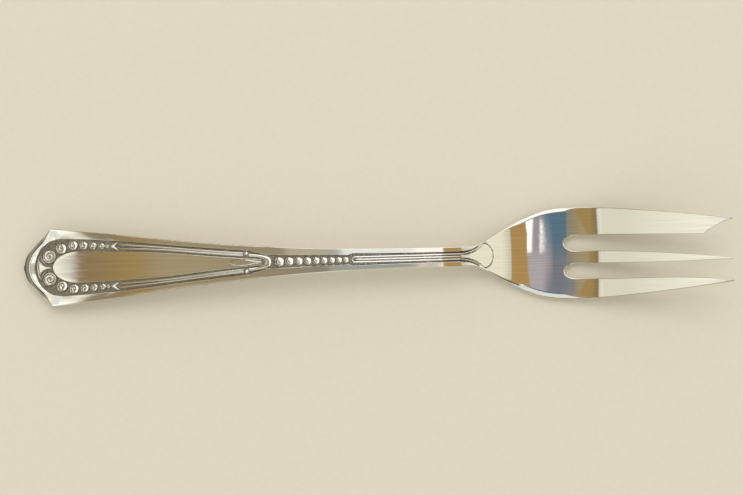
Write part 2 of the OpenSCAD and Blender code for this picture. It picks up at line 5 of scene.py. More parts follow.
import bpy
import numpy as np
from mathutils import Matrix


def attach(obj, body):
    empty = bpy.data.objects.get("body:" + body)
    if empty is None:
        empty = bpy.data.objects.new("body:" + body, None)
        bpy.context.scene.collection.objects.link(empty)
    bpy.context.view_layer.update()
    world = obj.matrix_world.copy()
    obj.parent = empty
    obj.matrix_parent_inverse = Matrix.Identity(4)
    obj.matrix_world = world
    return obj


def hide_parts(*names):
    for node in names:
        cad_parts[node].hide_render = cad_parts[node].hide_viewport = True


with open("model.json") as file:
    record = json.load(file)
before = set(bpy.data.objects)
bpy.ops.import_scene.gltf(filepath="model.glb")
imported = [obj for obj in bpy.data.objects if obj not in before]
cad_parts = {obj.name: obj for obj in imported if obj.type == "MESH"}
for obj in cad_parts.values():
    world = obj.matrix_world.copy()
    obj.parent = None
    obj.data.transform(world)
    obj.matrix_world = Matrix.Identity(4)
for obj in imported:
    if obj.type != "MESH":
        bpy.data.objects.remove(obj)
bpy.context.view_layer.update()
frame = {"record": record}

MM = 0.001
TINY = 1e-6

# Lengths along the fork, in millimetres from the tip of the handle end
POINT_L = 5.9
TAPER_L = 86.1
NECK_L = 12
BOWL_L = 10.2
TINE_L = 33.8

# Widths
END_W = 16.3
STEM_W = 4.1
BOWL_W = 19.4
SLOT_W = 3.05
MID_TINE_W = 2.65
MID_TINE_OFF = 0.85
NOSE_R = 5.7

# Thicknesses
END_T = 2.1
STEM_T = 2.9
BOWL_T = 1.6
TIP_T = 0.8
DISH_H = 0.55

# Bends, in degrees
ARCH_ANGLE = 10
NECK_ANGLE = 27
TINE_ANGLE = 20

# Ornament
RIM_W = 2.05
RIM_THIN_W = 1.15
RELIEF_H = 0.36
SCROLL_H = 0.95 * RELIEF_H
REED_H = 0.85 * RELIEF_H
STEM_REED_H = 0.8 * RELIEF_H
CHANNEL_W = 2.5
REED_CHANNEL_W = 1.45
REED_W = 0.36
VOLUTE_D = 3.1
ROSETTE_D = 2.4
ROSETTES = 5
BEAD_D = 2.15
BEADS = 9
STEM_REED_PITCH = 0.53
STEM_REEDS = 3

# Stations
AT_SHOULDER = POINT_L
AT_WAIST = AT_SHOULDER + TAPER_L
AT_BOWL = AT_WAIST + NECK_L
AT_ROOT = AT_BOWL + BOWL_L
AT_TIP = AT_ROOT + TINE_L
MID_X = AT_TIP / 2


def clamp(value, low=0.0, high=1.0):
    return np.clip(value, low, high)


def mix(a, b, share):
    return a + (b - a) * share


def smooth(share):
    u = clamp(share)
    return u * u * (3 - 2 * u)


def way(s, start, end):
    """Share of the way from start to end."""
    return clamp((s - start) / (end - start))


def ease(s, start, length):
    """A soft step from 0 to 1 over some length of the fork."""
    return smooth((s - start) / length)


def soft_min(a, b, r):
    return (a + b - np.sqrt((a - b) ** 2 + r * r)) / 2


def lookup(s, table):
    return np.interp(s, [row[0] for row in table], [row[1] for row in table])


# Outline
FACET_ANGLE = math.radians(43)
NOSE_CUT = NOSE_R * (1 - math.cos(math.asin(1 / 6)))
NOSE_TOUCH = NOSE_R * (1 - math.sin(FACET_ANGLE))
SHOULDER_R = END_T / 6
FLARE_FROM = mix(AT_WAIST, AT_BOWL, 0.19)
WIDEST = AT_ROOT + 0.095 * TINE_L
TIPS_IN_SHARE = 0.32


def facet_half(s):
    return NOSE_R * math.cos(FACET_ANGLE) + (s + NOSE_CUT - NOSE_TOUCH) * math.tan(FACET_ANGLE)


def nose_half(s):
    along = s + NOSE_CUT
    round_part = np.sqrt(np.maximum(0, NOSE_R**2 - (NOSE_R - along) ** 2))
    return np.where(along < NOSE_TOUCH, round_part, facet_half(s))


def taper_half(s):
    u = clamp((s - AT_SHOULDER) / TAPER_L)
    return STEM_W / 2 + (END_W - STEM_W) / 2 * (1 - u**1.3) ** 2.88


def handle_half(s):
    return soft_min(nose_half(s), taper_half(s), SHOULDER_R)


def flare_half(s):
    u = way(s, FLARE_FROM, WIDEST)
    return STEM_W / 2 + (BOWL_W - STEM_W) / 2 * (1 - (1 - u**1.6) ** 3.45)


def close_half(s):
    u = way(s, WIDEST, AT_TIP)
    return BOWL_W / 2 * (1 - TIPS_IN_SHARE * u**1.42)


def half(s):
    s = np.asarray(s, dtype=float)
    return np.where(s < AT_WAIST, handle_half(s), np.where(s < WIDEST, flare_half(s), close_half(s)))


# Side view: rows of a station and the slope of the face there
def part_way(start, end, rows):
    """Rows whose stations are given as shares of the way from start to end."""
    return [(mix(start, end, share), value) for share, value in rows]


SLOPES = [
    (0, 0.96 * ARCH_ANGLE),
    (AT_SHOULDER, ARCH_ANGLE),
    *part_way(AT_SHOULDER, AT_WAIST, [
        (0.094, 0.86 * ARCH_ANGLE),
        (0.19, 0.73 * ARCH_ANGLE),
        (0.315, 0.52 * ARCH_ANGLE),
        (0.477, 0.26 * ARCH_ANGLE),
        (0.628, 0.07 * ARCH_ANGLE),
        (0.707, -0.015 * NECK_ANGLE),
        (0.861, -0.074 * NECK_ANGLE),
        (0.957, -0.133 * NECK_ANGLE),
        (0.98, -0.3 * NECK_ANGLE),
    ]),
    *part_way(AT_WAIST, AT_BOWL, [
        (0.058, -0.49 * NECK_ANGLE),
        (0.44, -NECK_ANGLE),
        (0.708, -0.76 * NECK_ANGLE),
        (0.933, -0.4 * NECK_ANGLE),
    ]),
    *part_way(AT_BOWL, AT_ROOT, [
        (0.226, -0.096 * NECK_ANGLE),
        (0.509, -0.037 * NECK_ANGLE),
        (0.735, -0.015 * NECK_ANGLE),
    ]),
    *part_way(AT_ROOT, AT_TIP, [
        (0, 0.11 * TINE_ANGLE),
        (0.024, 0.21 * TINE_ANGLE),
        (0.16, 0.69 * TINE_ANGLE),
        (0.203, 0.84 * TINE_ANGLE),
        (0.275, TINE_ANGLE),
    ]),
    (AT_TIP, TINE_ANGLE),
]


def climb(s):
    """Rise of the face from the handle end to station s, an even bend between two slopes."""
    rise = 0.0
    for (start, angle), (end, next_angle) in zip(SLOPES, SLOPES[1:]):
        run = clamp(s - start, 0, end - start)
        turn = (next_angle - angle) / (end - start)
        rise = rise + run * np.tan(np.radians(angle + turn * run / 2))
    return rise


AT_HEEL = mix(AT_BOWL, AT_ROOT, 0.817)
LIE_SLOPE = float(BOWL_T - END_T - climb(AT_HEEL)) / AT_HEEL


def face_z(s):
    return END_T + climb(s) + LIE_SLOPE * s


def face_angle(s):
    return math.radians(lookup(s, SLOPES)) + math.atan(LIE_SLOPE)


LAND_H = 0.12 * BOWL_T
THICKNESSES = [
    (0, END_T + 2 * LAND_H),
    *part_way(AT_SHOULDER, AT_WAIST, [(0, END_T), (0.45, mix(END_T, STEM_T, 0.3)), (0.8, STEM_T)]),
    (AT_WAIST, STEM_T),
    (AT_BOWL, mix(BOWL_T, STEM_T, 0.12)),
    (AT_HEEL, BOWL_T + LAND_H / 2),
    (mix(AT_ROOT, AT_TIP, 0.256), BOWL_T),
    (AT_TIP, TIP_T),
]
DISH_FROM = mix(AT_WAIST, AT_BOWL, 0.58)
DISHES = [
    (DISH_FROM, 0),
    (AT_BOWL, DISH_H / 2),
    (AT_ROOT, DISH_H),
    (mix(AT_ROOT, AT_TIP, 0.312), DISH_H),
    (AT_TIP, DISH_H / 4),
]


def thick_at(s):
    return lookup(s, THICKNESSES)


def dish_z(s, y):
    return lookup(s, DISHES) * (y / half(s)) ** 2


def ground_z(s):
    """The ground of the relief, which runs out into the face on the neck."""
    return face_z(s) - RELIEF_H * (1 - ease(s, AT_WAIST, DISH_FROM - AT_WAIST))


# Edges: a broad bevel along the pointed end, a fine rounding along the handle's sides and a fuller one
# round the bowl, which thins out along the tines
BEVEL_W = 1.27
BEVEL_SLOPE = 0.3
BEVEL_HOLLOW = 0.1
BEVEL_LIP = 0.12
BEVEL_CREST = 0.18
CREST_W = 0.35
SIDE_ROUND = 0.16
BOWL_ROUND_HIGH = 0.85
BOWL_ROUND_LOW = 1.15
BOWL_ROUND_H = 0.6
TINE_ROUND = 0.22


def outline_slope(s):
    step = 0.01
    return (half(s + step) - half(np.maximum(s - step, 0))) / (step + np.minimum(s, step))


def inside_side(s, y):
    """Distance inside the long sides, measured square to them."""
    s = np.asarray(s, dtype=float)
    side = np.where(s < AT_WAIST, taper_half(s), half(s))
    slope = np.where(s < AT_SHOULDER + 1, 0, outline_slope(s))
    return (side - np.abs(y)) / np.sqrt(1 + slope**2)


def inside_end(s, y):
    """Distance inside the pointed end: from its round nose or its straight facets."""
    to_facet = (facet_half(s) - np.abs(y)) * math.cos(FACET_ANGLE)
    to_centre = np.hypot(s + NOSE_CUT - NOSE_R, y)
    in_nose = np.abs(y) < (NOSE_R - NOSE_CUT - s) / math.tan(FACET_ANGLE)
    return np.where(in_nose, NOSE_R - to_centre, to_facet)


def inside(s, y):
    return np.maximum(0, np.minimum(inside_side(s, y), inside_end(s, y)))


def quarter_round(depth_in, width, height):
    """How far a rounded edge lies below the face, at some distance inside it."""
    u = 1 - clamp(depth_in / width)
    return height * (1 - np.sqrt(1 - u * u))


def bevel_w(s):
    return BEVEL_W * (1 - 0.25 * ease(s, 0, 4)) * (1 - ease(s, 4.1, 2.2))


def bevel_fall(s, y):
    """The bevel round the pointed end, steeper outwards, with a soft crest and a small outer lip."""
    width = np.maximum(bevel_w(s), TINY)
    past = width - inside_end(s, y)
    run = (past + np.sqrt(past**2 + BEVEL_CREST**2)) / 2
    slant = BEVEL_SLOPE * run + BEVEL_HOLLOW * run**2
    lip = quarter_round(inside_end(s, y), BEVEL_LIP, BEVEL_LIP)
    return np.where(s < AT_SHOULDER + 2, np.maximum(0, slant - 0.02) * smooth(width / 0.3) + lip, 0)


def round_w(s, y):
    """Width of the rounding of the long sides."""
    high = mix(BOWL_ROUND_HIGH, TINE_ROUND, ease(s, AT_ROOT, 3.5))
    low = mix(BOWL_ROUND_LOW, TINE_ROUND, ease(s, AT_ROOT + 1, 4.5))
    high = mix(SIDE_ROUND, high, ease(s, AT_BOWL - 4.5, 6))
    low = mix(SIDE_ROUND, low, ease(s, AT_BOWL - 7, 10))
    return np.where(y > 0, high, low)


def round_h(s):
    blade = mix(np.minimum(BOWL_ROUND_H, 0.4 * thick_at(s)), TINE_ROUND, ease(s, AT_ROOT, 4))
    return mix(SIDE_ROUND, blade, ease(s, AT_BOWL - 5, 8))


def rim_crease(s):
    """Slope at which the rounded rim of the bowl starts, so that a fine crease divides it from the dish."""
    return 0.24 * ease(s, AT_BOWL - 2, 4) * (1 - ease(s, AT_ROOT - 1, 3))


def edge_fall(s, y):
    depth_in = inside_side(s, y)
    width = round_w(s, y)
    crease = rim_crease(s)
    rounded = quarter_round(depth_in, width, round_h(s) - crease * width)
    return np.maximum(rounded + crease * np.maximum(width - depth_in, 0), bevel_fall(s, y))


# Slots, each an oval root whose sides run out along the tines
ROOT_L = 0.88 * SLOT_W
LEFT_SLOT_Y = MID_TINE_W / 2 + 0.556 * SLOT_W - MID_TINE_OFF
RIGHT_SLOT_Y = -MID_TINE_W / 2 - 0.533 * SLOT_W - MID_TINE_OFF
SLANT_L = 0.169 * TINE_L
POINT_W = 0.12 * MID_TINE_W
SLOT_ROUND = 0.3


def root_share(s):
    return np.sqrt(1 - (1 - clamp((s - AT_ROOT) / ROOT_L)) ** 2)


def along_tine(s):
    return way(s, AT_ROOT + ROOT_L, AT_TIP)


def slot_half(s):
    return SLOT_W / 2 * root_share(s) * mix(1, 1.13, clamp(5 * along_tine(s)))


def mid_line(s):
    return -MID_TINE_OFF - 0.36 * MID_TINE_W * along_tine(s) ** 1.5


def mid_half(s):
    return MID_TINE_W / 2 * mix(1, 0.13, along_tine(s) ** 2.2)


def middle_high(s):
    return mix(LEFT_SLOT_Y, mid_line(s) + mid_half(s), root_share(s))


def middle_low(s):
    return mix(RIGHT_SLOT_Y, mid_line(s) - mid_half(s), root_share(s))


def outer_high(s):
    run = along_tine(s)
    free = RIGHT_SLOT_Y - slot_half(s) + SLOT_W * (0.04 * run - 0.42 * run**8)
    return np.maximum(free, POINT_W - half(s))


def cutting_low(s):
    u = clamp((s - AT_TIP + SLANT_L) / SLANT_L)
    straight = LEFT_SLOT_Y + slot_half(s) - 0.23 * SLOT_W * along_tine(s)
    return mix(straight, half(s) - POINT_W, 1 - (1 - u) ** 1.22)


def outside_slot(s, y, middle, high, low):
    """Distance from a slot, taken as an oval about the end of its root."""
    centre = AT_ROOT + ROOT_L
    beyond = np.maximum(s, centre)
    reach = np.where(y > middle, high(beyond) - middle, middle - low(beyond))
    u = np.minimum(s - centre, 0) / ROOT_L
    v = (y - middle) / reach
    ring = np.maximum(np.hypot(u, v), TINY)
    slope = np.hypot(u / ROOT_L, v / reach) / ring
    return np.maximum(0, (ring - 1) / np.maximum(slope, TINY))


def slot_distance(s, y):
    left = outside_slot(s, y, LEFT_SLOT_Y, cutting_low, middle_high)
    right = outside_slot(s, y, RIGHT_SLOT_Y, middle_low, outer_high)
    return np.minimum(left, right)


def slot_round(s):
    """Rounding of the slots' edges: fuller round their roots than along the tines."""
    return SLOT_ROUND * mix(1, 0.45, ease(s, AT_ROOT, 4))


def blade_z(s, y):
    """The polished face of the bowl and tines with its rounded edges."""
    slot = quarter_round(slot_distance(s, y), slot_round(s), slot_round(s))
    return face_z(s) + dish_z(s, y) - np.maximum(edge_fall(s, y), slot)


def under_z(s, y, lift):
    return np.maximum(0, face_z(s) - thick_at(s) + dish_z(s, y) + lift)


# Border of the handle
BORDER_FROM = 1.36 * AT_SHOULDER
NOSE_RIM_W = 1.22 * RIM_W
INNER_HALF = float(handle_half(BORDER_FROM)) - RIM_W
INNER_L = BORDER_FROM - NOSE_RIM_W


def rim_at(s):
    return mix(RIM_THIN_W, RIM_W, way(s, AT_WAIST, BORDER_FROM) ** 6)


def channel_at(s):
    return mix(CHANNEL_W, REED_CHANNEL_W, ease(s, BORDER_FROM, 3.2 * BORDER_FROM))


def channel_mid(s):
    return handle_half(s) - rim_at(s) - channel_at(s) / 2


LINE_FROM = 12
LINE_TO = 46


def border_line(s, y, to_inner):
    """Share of the fine line down the middle of the side border, some way from its inner side."""
    depth_in = inside(s, y)
    place = (depth_in / (depth_in + to_inner) - 0.5) / 0.07
    return np.exp(-place**2) * ease(s, LINE_FROM, 8) * (1 - ease(s, LINE_TO, 10))


def rim_height(s, y, to_inner):
    """Height of the border above the ground: a broad slope round the end, which turns into a flat band
    with a fine line down its middle."""
    end_in = inside_end(s, y) - bevel_w(s) - CREST_W * (1 - ease(s, 3, 3))
    side_in = inside_side(s, y) - SIDE_ROUND
    past = np.maximum(soft_min(end_in, side_in, 0.5), 0)
    fall = past / np.maximum(past + to_inner, TINY)
    broad = RELIEF_H * (1.18 - mix(0.45, 1.04, ease(s, 4.5, 3)) * fall)
    band = RELIEF_H * (smooth((to_inner + 0.04) / 0.24) - 0.02 * border_line(s, y, to_inner))
    return mix(broad, band, ease(s, 9.5, 18.5))


# Mesh making. A slab is an upper and an under sheet of points, rows along and columns across it from
# right to left, with the dark share of each upper point: oxidised recesses, and painted shade in a few
# places.
def grid_faces(count, width, start):
    """Faces of a grid of points, facing up where its rows run along +X and its columns along +Y."""
    corner = start + np.arange(count * width).reshape(count, width)
    return np.stack([corner[:-1, :-1], corner[1:, :-1], corner[1:, 1:], corner[:-1, 1:]], -1).reshape(-1, 4)


def slab_mesh(upper, under):
    count, width = upper.shape[:2]
    size = count * width
    top = grid_faces(count, width, 0)
    bottom = grid_faces(count, width, size)[:, ::-1]
    upper_index = np.arange(size).reshape(count, width)
    rim = np.concatenate([
        upper_index[:-1, 0], upper_index[-1, :-1], upper_index[:0:-1, -1], upper_index[0, :0:-1]
    ])
    ahead = np.roll(rim, -1)
    walls = np.stack([rim, rim + size, ahead + size, ahead], -1)
    points = np.concatenate([upper.reshape(-1, 3), under.reshape(-1, 3)])
    return points, np.concatenate([top, bottom, walls])


SHARP_ANGLE = math.radians(38)


def add_piece(name, slabs, material):
    """One object for a node, made of closed slabs, each with the dark share of its upper points: oxidised
    recesses, and painted shade in a few places.
    """
    points = []
    faces = []
    hollows = []
    start = 0
    for upper, under, hollow in slabs:
        slab_points, slab_faces = slab_mesh(upper, under)
        points.append(slab_points)
        faces.append(slab_faces + start)
        hollows.append(np.concatenate([hollow.ravel(), np.zeros(hollow.size)]))
        start += len(slab_points)
    points = np.concatenate(points)
    points[:, 0] -= MID_X
    mesh = bpy.data.meshes.new(name + "_mesh")
    mesh.from_pydata((points * MM).tolist(), [], np.concatenate(faces).tolist())
    shares = mesh.attributes.new("hollow", "FLOAT", "POINT")
    shares.data.foreach_set("value", np.concatenate(hollows).astype(np.float32))
    mesh.shade_smooth()
    mesh.set_sharp_from_angle(angle=SHARP_ANGLE)
    mesh.materials.append(material)
    piece = bpy.data.objects.new(name + "_silver", mesh)
    bpy.context.collection.objects.link(piece)
    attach(piece, "root")
    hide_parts(name)
    return piece


def sheet(s, y, z):
    s, y, z = np.broadcast_arrays(s, y, z)
    return np.stack([s, y, z], -1).astype(float)


def mirrored(rows):
    return rows[:, ::-1] * np.array([1, -1, 1])


def both_sides(make):
    """A maker's slabs for the left side, and the same mirrored for the right side."""
    left = make()
    right = [(mirrored(upper), mirrored(under), hollow[:, ::-1]) for upper, under, hollow in left]
    return left, right


PINCH = 0.04


def pinched(start, end, spacing, extra=()):
    """Stations from start to end, with one close to each end, so that neighbours mirror as one face."""
    count = max(2, int(round((end - start) / spacing)))
    ends = [start, start + PINCH, end - PINCH, end]
    inner = [*np.linspace(start, end, count + 1)[1:-1], *extra]
    kept = [s for s in inner if start + 2 * PINCH < s < end - 2 * PINCH]
    return np.array(sorted(ends + kept))


# Columns of a body: close together round the edges, each of which takes less than half of the width, and
# even in between
EDGE_STEPS = 9
MIDDLE_STEPS = 22
EDGE_SHARE = 0.45


def columns(low, high, low_w, high_w, middle_steps=MIDDLE_STEPS):
    turn = np.linspace(0, math.pi / 2, EDGE_STEPS)
    inset = 1 - np.cos(turn)
    between = np.linspace(0, 1, middle_steps + 2)[1:-1]
    low, high, low_w, high_w = (np.asarray(v, dtype=float)[:, None] for v in (low, high, low_w, high_w))
    return np.concatenate([
        low + low_w * inset,
        mix(low + low_w, high - high_w, between),
        high - high_w * inset[::-1],
    ], axis=1)


def under_sheet(s, low, high, low_round, high_round, middle_steps=MIDDLE_STEPS):
    """The under side, rounded up to a bit over half of the thickness at both edges."""
    width = high - low
    low_w = np.minimum(low_round, EDGE_SHARE * width)
    high_w = np.minimum(high_round, EDGE_SHARE * width)
    y = columns(low, high, low_w, high_w, middle_steps)
    station = s[:, None]
    from_low = (y - low[:, None]) / low_w[:, None]
    from_high = (high[:, None] - y) / high_w[:, None]
    lift = quarter_round(np.minimum(from_low, from_high), 1, 0.55 * thick_at(station))
    nose = 0.3 * END_T * clamp(1 - 2 * station / END_T) ** 2
    return sheet(station, y, under_z(station, y, np.maximum(lift, nose)))


def body_slab(s, top, hollow, middle_steps=MIDDLE_STEPS):
    """A stretch of the blank from edge to edge under a given top surface."""
    side = half(s)
    stretch = np.sqrt(1 + outline_slope(s) ** 2)
    low_w, high_w = (
        np.minimum((round_w(s, end * side) + bevel_w(s)) * stretch, EDGE_SHARE * side) for end in (-1, 1)
    )
    y = columns(-side, side, low_w, high_w, middle_steps)
    station = s[:, None]
    upper = sheet(station, y, top(station, y))
    under = under_sheet(s, -side, side, 0.3 * side, 0.3 * side, middle_steps)
    return upper, under, hollow(station, y)


def plain(s, y):
    return np.zeros(np.broadcast(s, y).shape)


def plate_top(s, y):
    return ground_z(s) - edge_fall(s, y)


def plate_hollow(s, y):
    return smooth((inside(s, y) - bevel_w(s) - SIDE_ROUND) / 0.3)


# Places of the ornament
VOLUTE_R = VOLUTE_D / 2
VOLUTE_S = NOSE_RIM_W + 2 * VOLUTE_R
VOLUTE_Y = 0.403 * INNER_HALF
CUP_S = mix(AT_SHOULDER, AT_WAIST, 0.4815)
CUP_L = 1.27 * STEM_W
CUP_HALF = float(handle_half(CUP_S) - rim_at(CUP_S)) - 0.36 * REED_CHANNEL_W
CUP_W = 0.4 * CUP_HALF
CUP_GAP = 0.08 * CUP_HALF
CURL_R = 0.34 * REED_CHANNEL_W


def bead_r(k):
    return BEAD_D / 2 * mix(1, 0.64, (k / (BEADS - 1)) ** 0.75)


def bead_s(k):
    if k == 0:
        return CUP_S + CUP_L + 0.12 * STEM_W + bead_r(0)
    return bead_s(k - 1) + 1.015 * (bead_r(k - 1) + bead_r(k))


PLATE_END = bead_s(BEADS - 1) + 1.6 * bead_r(BEADS - 1)
PANEL_FROM = VOLUTE_S + 0.47 * VOLUTE_R
PANEL_ROUND_L = 3.65 * VOLUTE_R
PANEL_TO = CUP_S + 0.6 * CUP_L
PANEL_TOP = REED_H


def inner_at(s):
    return INNER_HALF * math.sqrt(1 - (max(0, BORDER_FROM - s) / INNER_L) ** 2)


def panel_half(s):
    u = clamp((PANEL_FROM + PANEL_ROUND_L - s) / PANEL_ROUND_L)
    side = handle_half(s) - rim_at(s) - channel_at(s)
    past_cup = clamp((s - CUP_S) / (CUP_L - CUP_W))
    clear = (CUP_HALF - CUP_W) * np.sqrt(1 - past_cup**2) - CUP_GAP
    free = np.where(s > CUP_S, np.minimum(side, clear), side * np.sqrt(1 - u * u))
    return np.maximum(0.05 * CHANNEL_W, free)


def rosette_r(k):
    return ROSETTE_D / 2 * 0.89**k


def rosette_s(k):
    if k == 0:
        return VOLUTE_S + 0.95 * (VOLUTE_R + rosette_r(0))
    return rosette_s(k - 1) + 1.13 * (rosette_r(k - 1) + rosette_r(k))


def rosette_y(k):
    s = rosette_s(k)
    if k == 0:
        return float(mix(panel_half(s), inner_at(s), 0.42))
    return float(channel_mid(s))


# Body of the blank
def handle_plate():
    rows = np.concatenate([
        NOSE_TOUCH * np.linspace(0, 1, 16) ** 2,
        pinched(NOSE_TOUCH + 0.1, PLATE_END, 0.3),
    ])
    return [body_slab(rows, plate_top, plate_hollow, 30)]


def stem():
    return [body_slab(pinched(PLATE_END, AT_WAIST, 0.5), plate_top, plate_hollow, 24)]


TONGUE_FROM = AT_WAIST + 0.002 * NECK_L
TONGUE_WIDE = mix(AT_WAIST, AT_BOWL, 0.425)
TONGUE_TO = DISH_FROM
TONGUE_SLIM = 0.18 * STEM_W / 2
TONGUE_FULL = 1.22 * STEM_W / 2
NECK_GROOVE_W = 0.62


def tongue_half(s):
    u = way(s, TONGUE_FROM, TONGUE_WIDE)
    v = way(s, TONGUE_WIDE, TONGUE_TO)
    return np.where(
        s < TONGUE_WIDE, mix(TONGUE_SLIM, TONGUE_FULL, u**2.5), TONGUE_FULL * np.sqrt(1.01 - v * v)
    )


def neck_inner(s):
    """Half width of the sunk middle of the neck, which widens beside the tongue."""
    start = STEM_W / 2 - RIM_THIN_W
    return np.minimum(np.maximum(start, tongue_half(s) + NECK_GROOVE_W), 0.9 * half(s))


def neck_top(s, y):
    """Sunk between the borders at the waist, and level with the face from the tongue's front on."""
    sunk = face_z(s) - ground_z(s)
    flank = smooth((np.abs(y) - neck_inner(s) + 0.04) / 0.24)
    return ground_z(s) + sunk * flank + dish_z(s, y) - edge_fall(s, y)


def neck_hollow(s, y):
    """Dark beside the tongue, and along a fine line round its front."""
    sunk = (face_z(s) - ground_z(s)) / RELIEF_H
    beside = sunk * (1 - smooth((np.abs(y) - neck_inner(s) - 0.02) / 0.12))
    ring = np.hypot((s - TONGUE_WIDE) / (TONGUE_TO - TONGUE_WIDE), y / TONGUE_FULL)
    front = np.exp(-(((ring - 1) * TONGUE_FULL - 0.06) / 0.22) ** 2)
    return np.maximum(beside, np.where(s > TONGUE_WIDE, front, 0))


def neck():
    return [body_slab(pinched(AT_WAIST, AT_BOWL, 0.16), neck_top, neck_hollow, 70)]


def bowl():
    rows = pinched(AT_BOWL, AT_ROOT, 0.25, extra=AT_ROOT - np.linspace(0.1, 1.1, 11))
    return [body_slab(rows, blade_z, plain, 110)]


def tine_slab(s, low, high, low_outer, high_outer):
    """A tine between two edges, each either the fork's outline or the side of a slot."""
    width = high - low
    stretch = np.sqrt(1 + outline_slope(s) ** 2)
    slot_w = slot_round(s) * mix(3, 1, root_share(s))
    low_w = np.minimum(round_w(s, low) * stretch if low_outer else slot_w, 0.4 * width)
    high_w = np.minimum(round_w(s, high) * stretch if high_outer else slot_w, 0.4 * width)
    y = columns(low, high, low_w, high_w)
    station = s[:, None]
    upper = sheet(station, y, blade_z(station, y))
    outer_under = 0.3 * half(s)
    slot_under = 0.25 * MID_TINE_W * (0.05 + 0.95 * root_share(s))
    under = under_sheet(
        s, low, high, outer_under if low_outer else slot_under, outer_under if high_outer else slot_under
    )
    return upper, under, plain(station, y)


def tine_rows(extra=()):
    root = AT_ROOT + ROOT_L * np.linspace(0, 1, 26) ** 2
    return np.array(sorted(set(root) | set(np.linspace(AT_ROOT + ROOT_L, AT_TIP, 70)) | set(extra)))


def cutting_tine():
    s = tine_rows(np.linspace(AT_TIP - SLANT_L, AT_TIP, 24))
    return [tine_slab(s, cutting_low(s), half(s), False, True)]


def middle_tine():
    s = tine_rows()
    return [tine_slab(s, middle_low(s), middle_high(s), False, False)]


def outer_tine():
    s = tine_rows()
    return [tine_slab(s, -half(s), outer_high(s), True, False)]


# Raised border
BORDER_COLUMNS = np.concatenate([
    np.linspace(0, 0.12, 6)[:-1],
    np.linspace(0.12, 0.6, 16)[:-1],
    1 - 0.4 * np.cos(np.linspace(0, math.pi / 2, 14)),
])
BORDER_FOOT = 0.02


def border_hollow(s, y, to_inner):
    """Dark at the foot of the inner side and in the fine line, and painted shade that darkens the outer
    edge.
    """
    foot = 1 - smooth(to_inner / 0.16)
    # Painted shade: the outer edge is darkened along the middle of the handle, where it mirrors light.
    edge = 0.7 * (1 - smooth(inside(s, y) / 0.22)) * ease(s, LINE_FROM, 8) * (1 - ease(s, LINE_TO + 4, 8))
    return np.maximum(np.maximum(foot, 0.62 * border_line(s, y, to_inner)), edge)


def border_slab(s, y, share):
    """Points from the inner side, share 0, to the outline, share 1, raised by the border's height."""
    to_inner = share * np.hypot(s[:, -1:] - s[:, :1], y[:, -1:] - y[:, :1])
    base = plate_top(s, y)
    top = base + np.maximum(rim_height(s, y, to_inner), BORDER_FOOT)
    return sheet(s, y, top), sheet(s, y, base), border_hollow(s, y, to_inner)


def end_border():
    turn = np.linspace(-1, 1, 241)
    inner_turn = math.pi / 2 * turn
    share_table = [0, 0.07, 0.14, 0.24, 0.34, 0.44, 0.56, 0.68, 0.8, 0.9, 1]
    station_table = [
        0, 0, NOSE_TOUCH / 16, NOSE_TOUCH / 4, NOSE_TOUCH * 9 / 16, NOSE_TOUCH,
        0.5 * AT_SHOULDER, 0.76 * AT_SHOULDER, AT_SHOULDER,
        mix(AT_SHOULDER, BORDER_FROM, 0.45), BORDER_FROM,
    ]
    out_s = np.interp(np.abs(turn), share_table, station_table)
    flat = clamp(np.abs(turn) / share_table[1])
    out_y = np.sign(turn) * handle_half(out_s) * flat
    in_s = BORDER_FROM - INNER_L * np.cos(inner_turn)
    in_y = INNER_HALF * np.sin(inner_turn)
    share = BORDER_COLUMNS[None, :]
    s = mix(in_s[:, None], out_s[:, None], share)
    y = mix(in_y[:, None], out_y[:, None], share)
    return [border_slab(s, y, share)]


BEAD_GAP = 0.14


def border_w(s):
    """Width of the side border, which fills up to the cup and the row of beads."""
    row = lookup(s, [(bead_s(k), bead_r(k)) for k in range(BEADS)])
    round_cup = CUP_HALF * np.sqrt(1 - clamp((s - CUP_S) / CUP_L) ** 2)
    beside = np.maximum(handle_half(s) - np.maximum(row, round_cup) - BEAD_GAP, rim_at(s))
    share = ease(s, CUP_S + CURL_R, 1.2) * (1 - ease(s, PLATE_END - 0.6, 1.2))
    return mix(rim_at(s), beside, share)


def left_border():
    s = pinched(BORDER_FROM, AT_WAIST, 0.4)[:, None]
    side = handle_half(s)
    y = mix(side - border_w(s), side, BORDER_COLUMNS[None, :])
    return [border_slab(np.broadcast_to(s, y.shape), y, BORDER_COLUMNS[None, :])]


# Ridges of the struck relief
RIDGE_ACROSS = np.linspace(-1, 1, 13)
DISC_FOOT = 0.02


def ridge_slab(s, y, half_w, height, base=0.0, fullness=0.5, foot=0.1):
    """A rounded ridge along a path of stations and sides, dark at its feet."""
    s = np.asarray(s, dtype=float)
    y = np.asarray(y, dtype=float)
    along = np.stack([np.gradient(s), np.gradient(y)], -1)
    along /= np.linalg.norm(along, axis=1, keepdims=True)
    half_w = np.broadcast_to(half_w, s.shape)[:, None]
    height = np.broadcast_to(height, s.shape)[:, None]
    station = s[:, None] - along[:, 1:] * half_w * RIDGE_ACROSS
    side = y[:, None] + along[:, :1] * half_w * RIDGE_ACROSS
    rise = foot + (1 - foot) * (1 - RIDGE_ACROSS**2) ** fullness
    floor = ground_z(station) + base
    hollow = np.broadcast_to(np.abs(RIDGE_ACROSS) ** 3, station.shape)
    return sheet(station, side, floor + height * rise), sheet(station, side, floor), hollow


def strip_slab(s, low, high, top, edge_w, base=0.0):
    """A flat-topped strip with rounded edges, between two sides that run along the fork."""
    edge_w = np.minimum(edge_w, EDGE_SHARE * (high - low))
    y = columns(low, high, edge_w, edge_w, 8)
    station = s[:, None]
    depth_in = np.minimum(y - low[:, None], high[:, None] - y)
    rise = top - quarter_round(depth_in, edge_w[:, None], 0.8 * top)
    floor = ground_z(station) + base
    hollow = 1 - smooth(depth_in / np.maximum(0.7 * edge_w[:, None], TINY))
    return sheet(station, y, floor + rise), sheet(station, y, floor), hollow


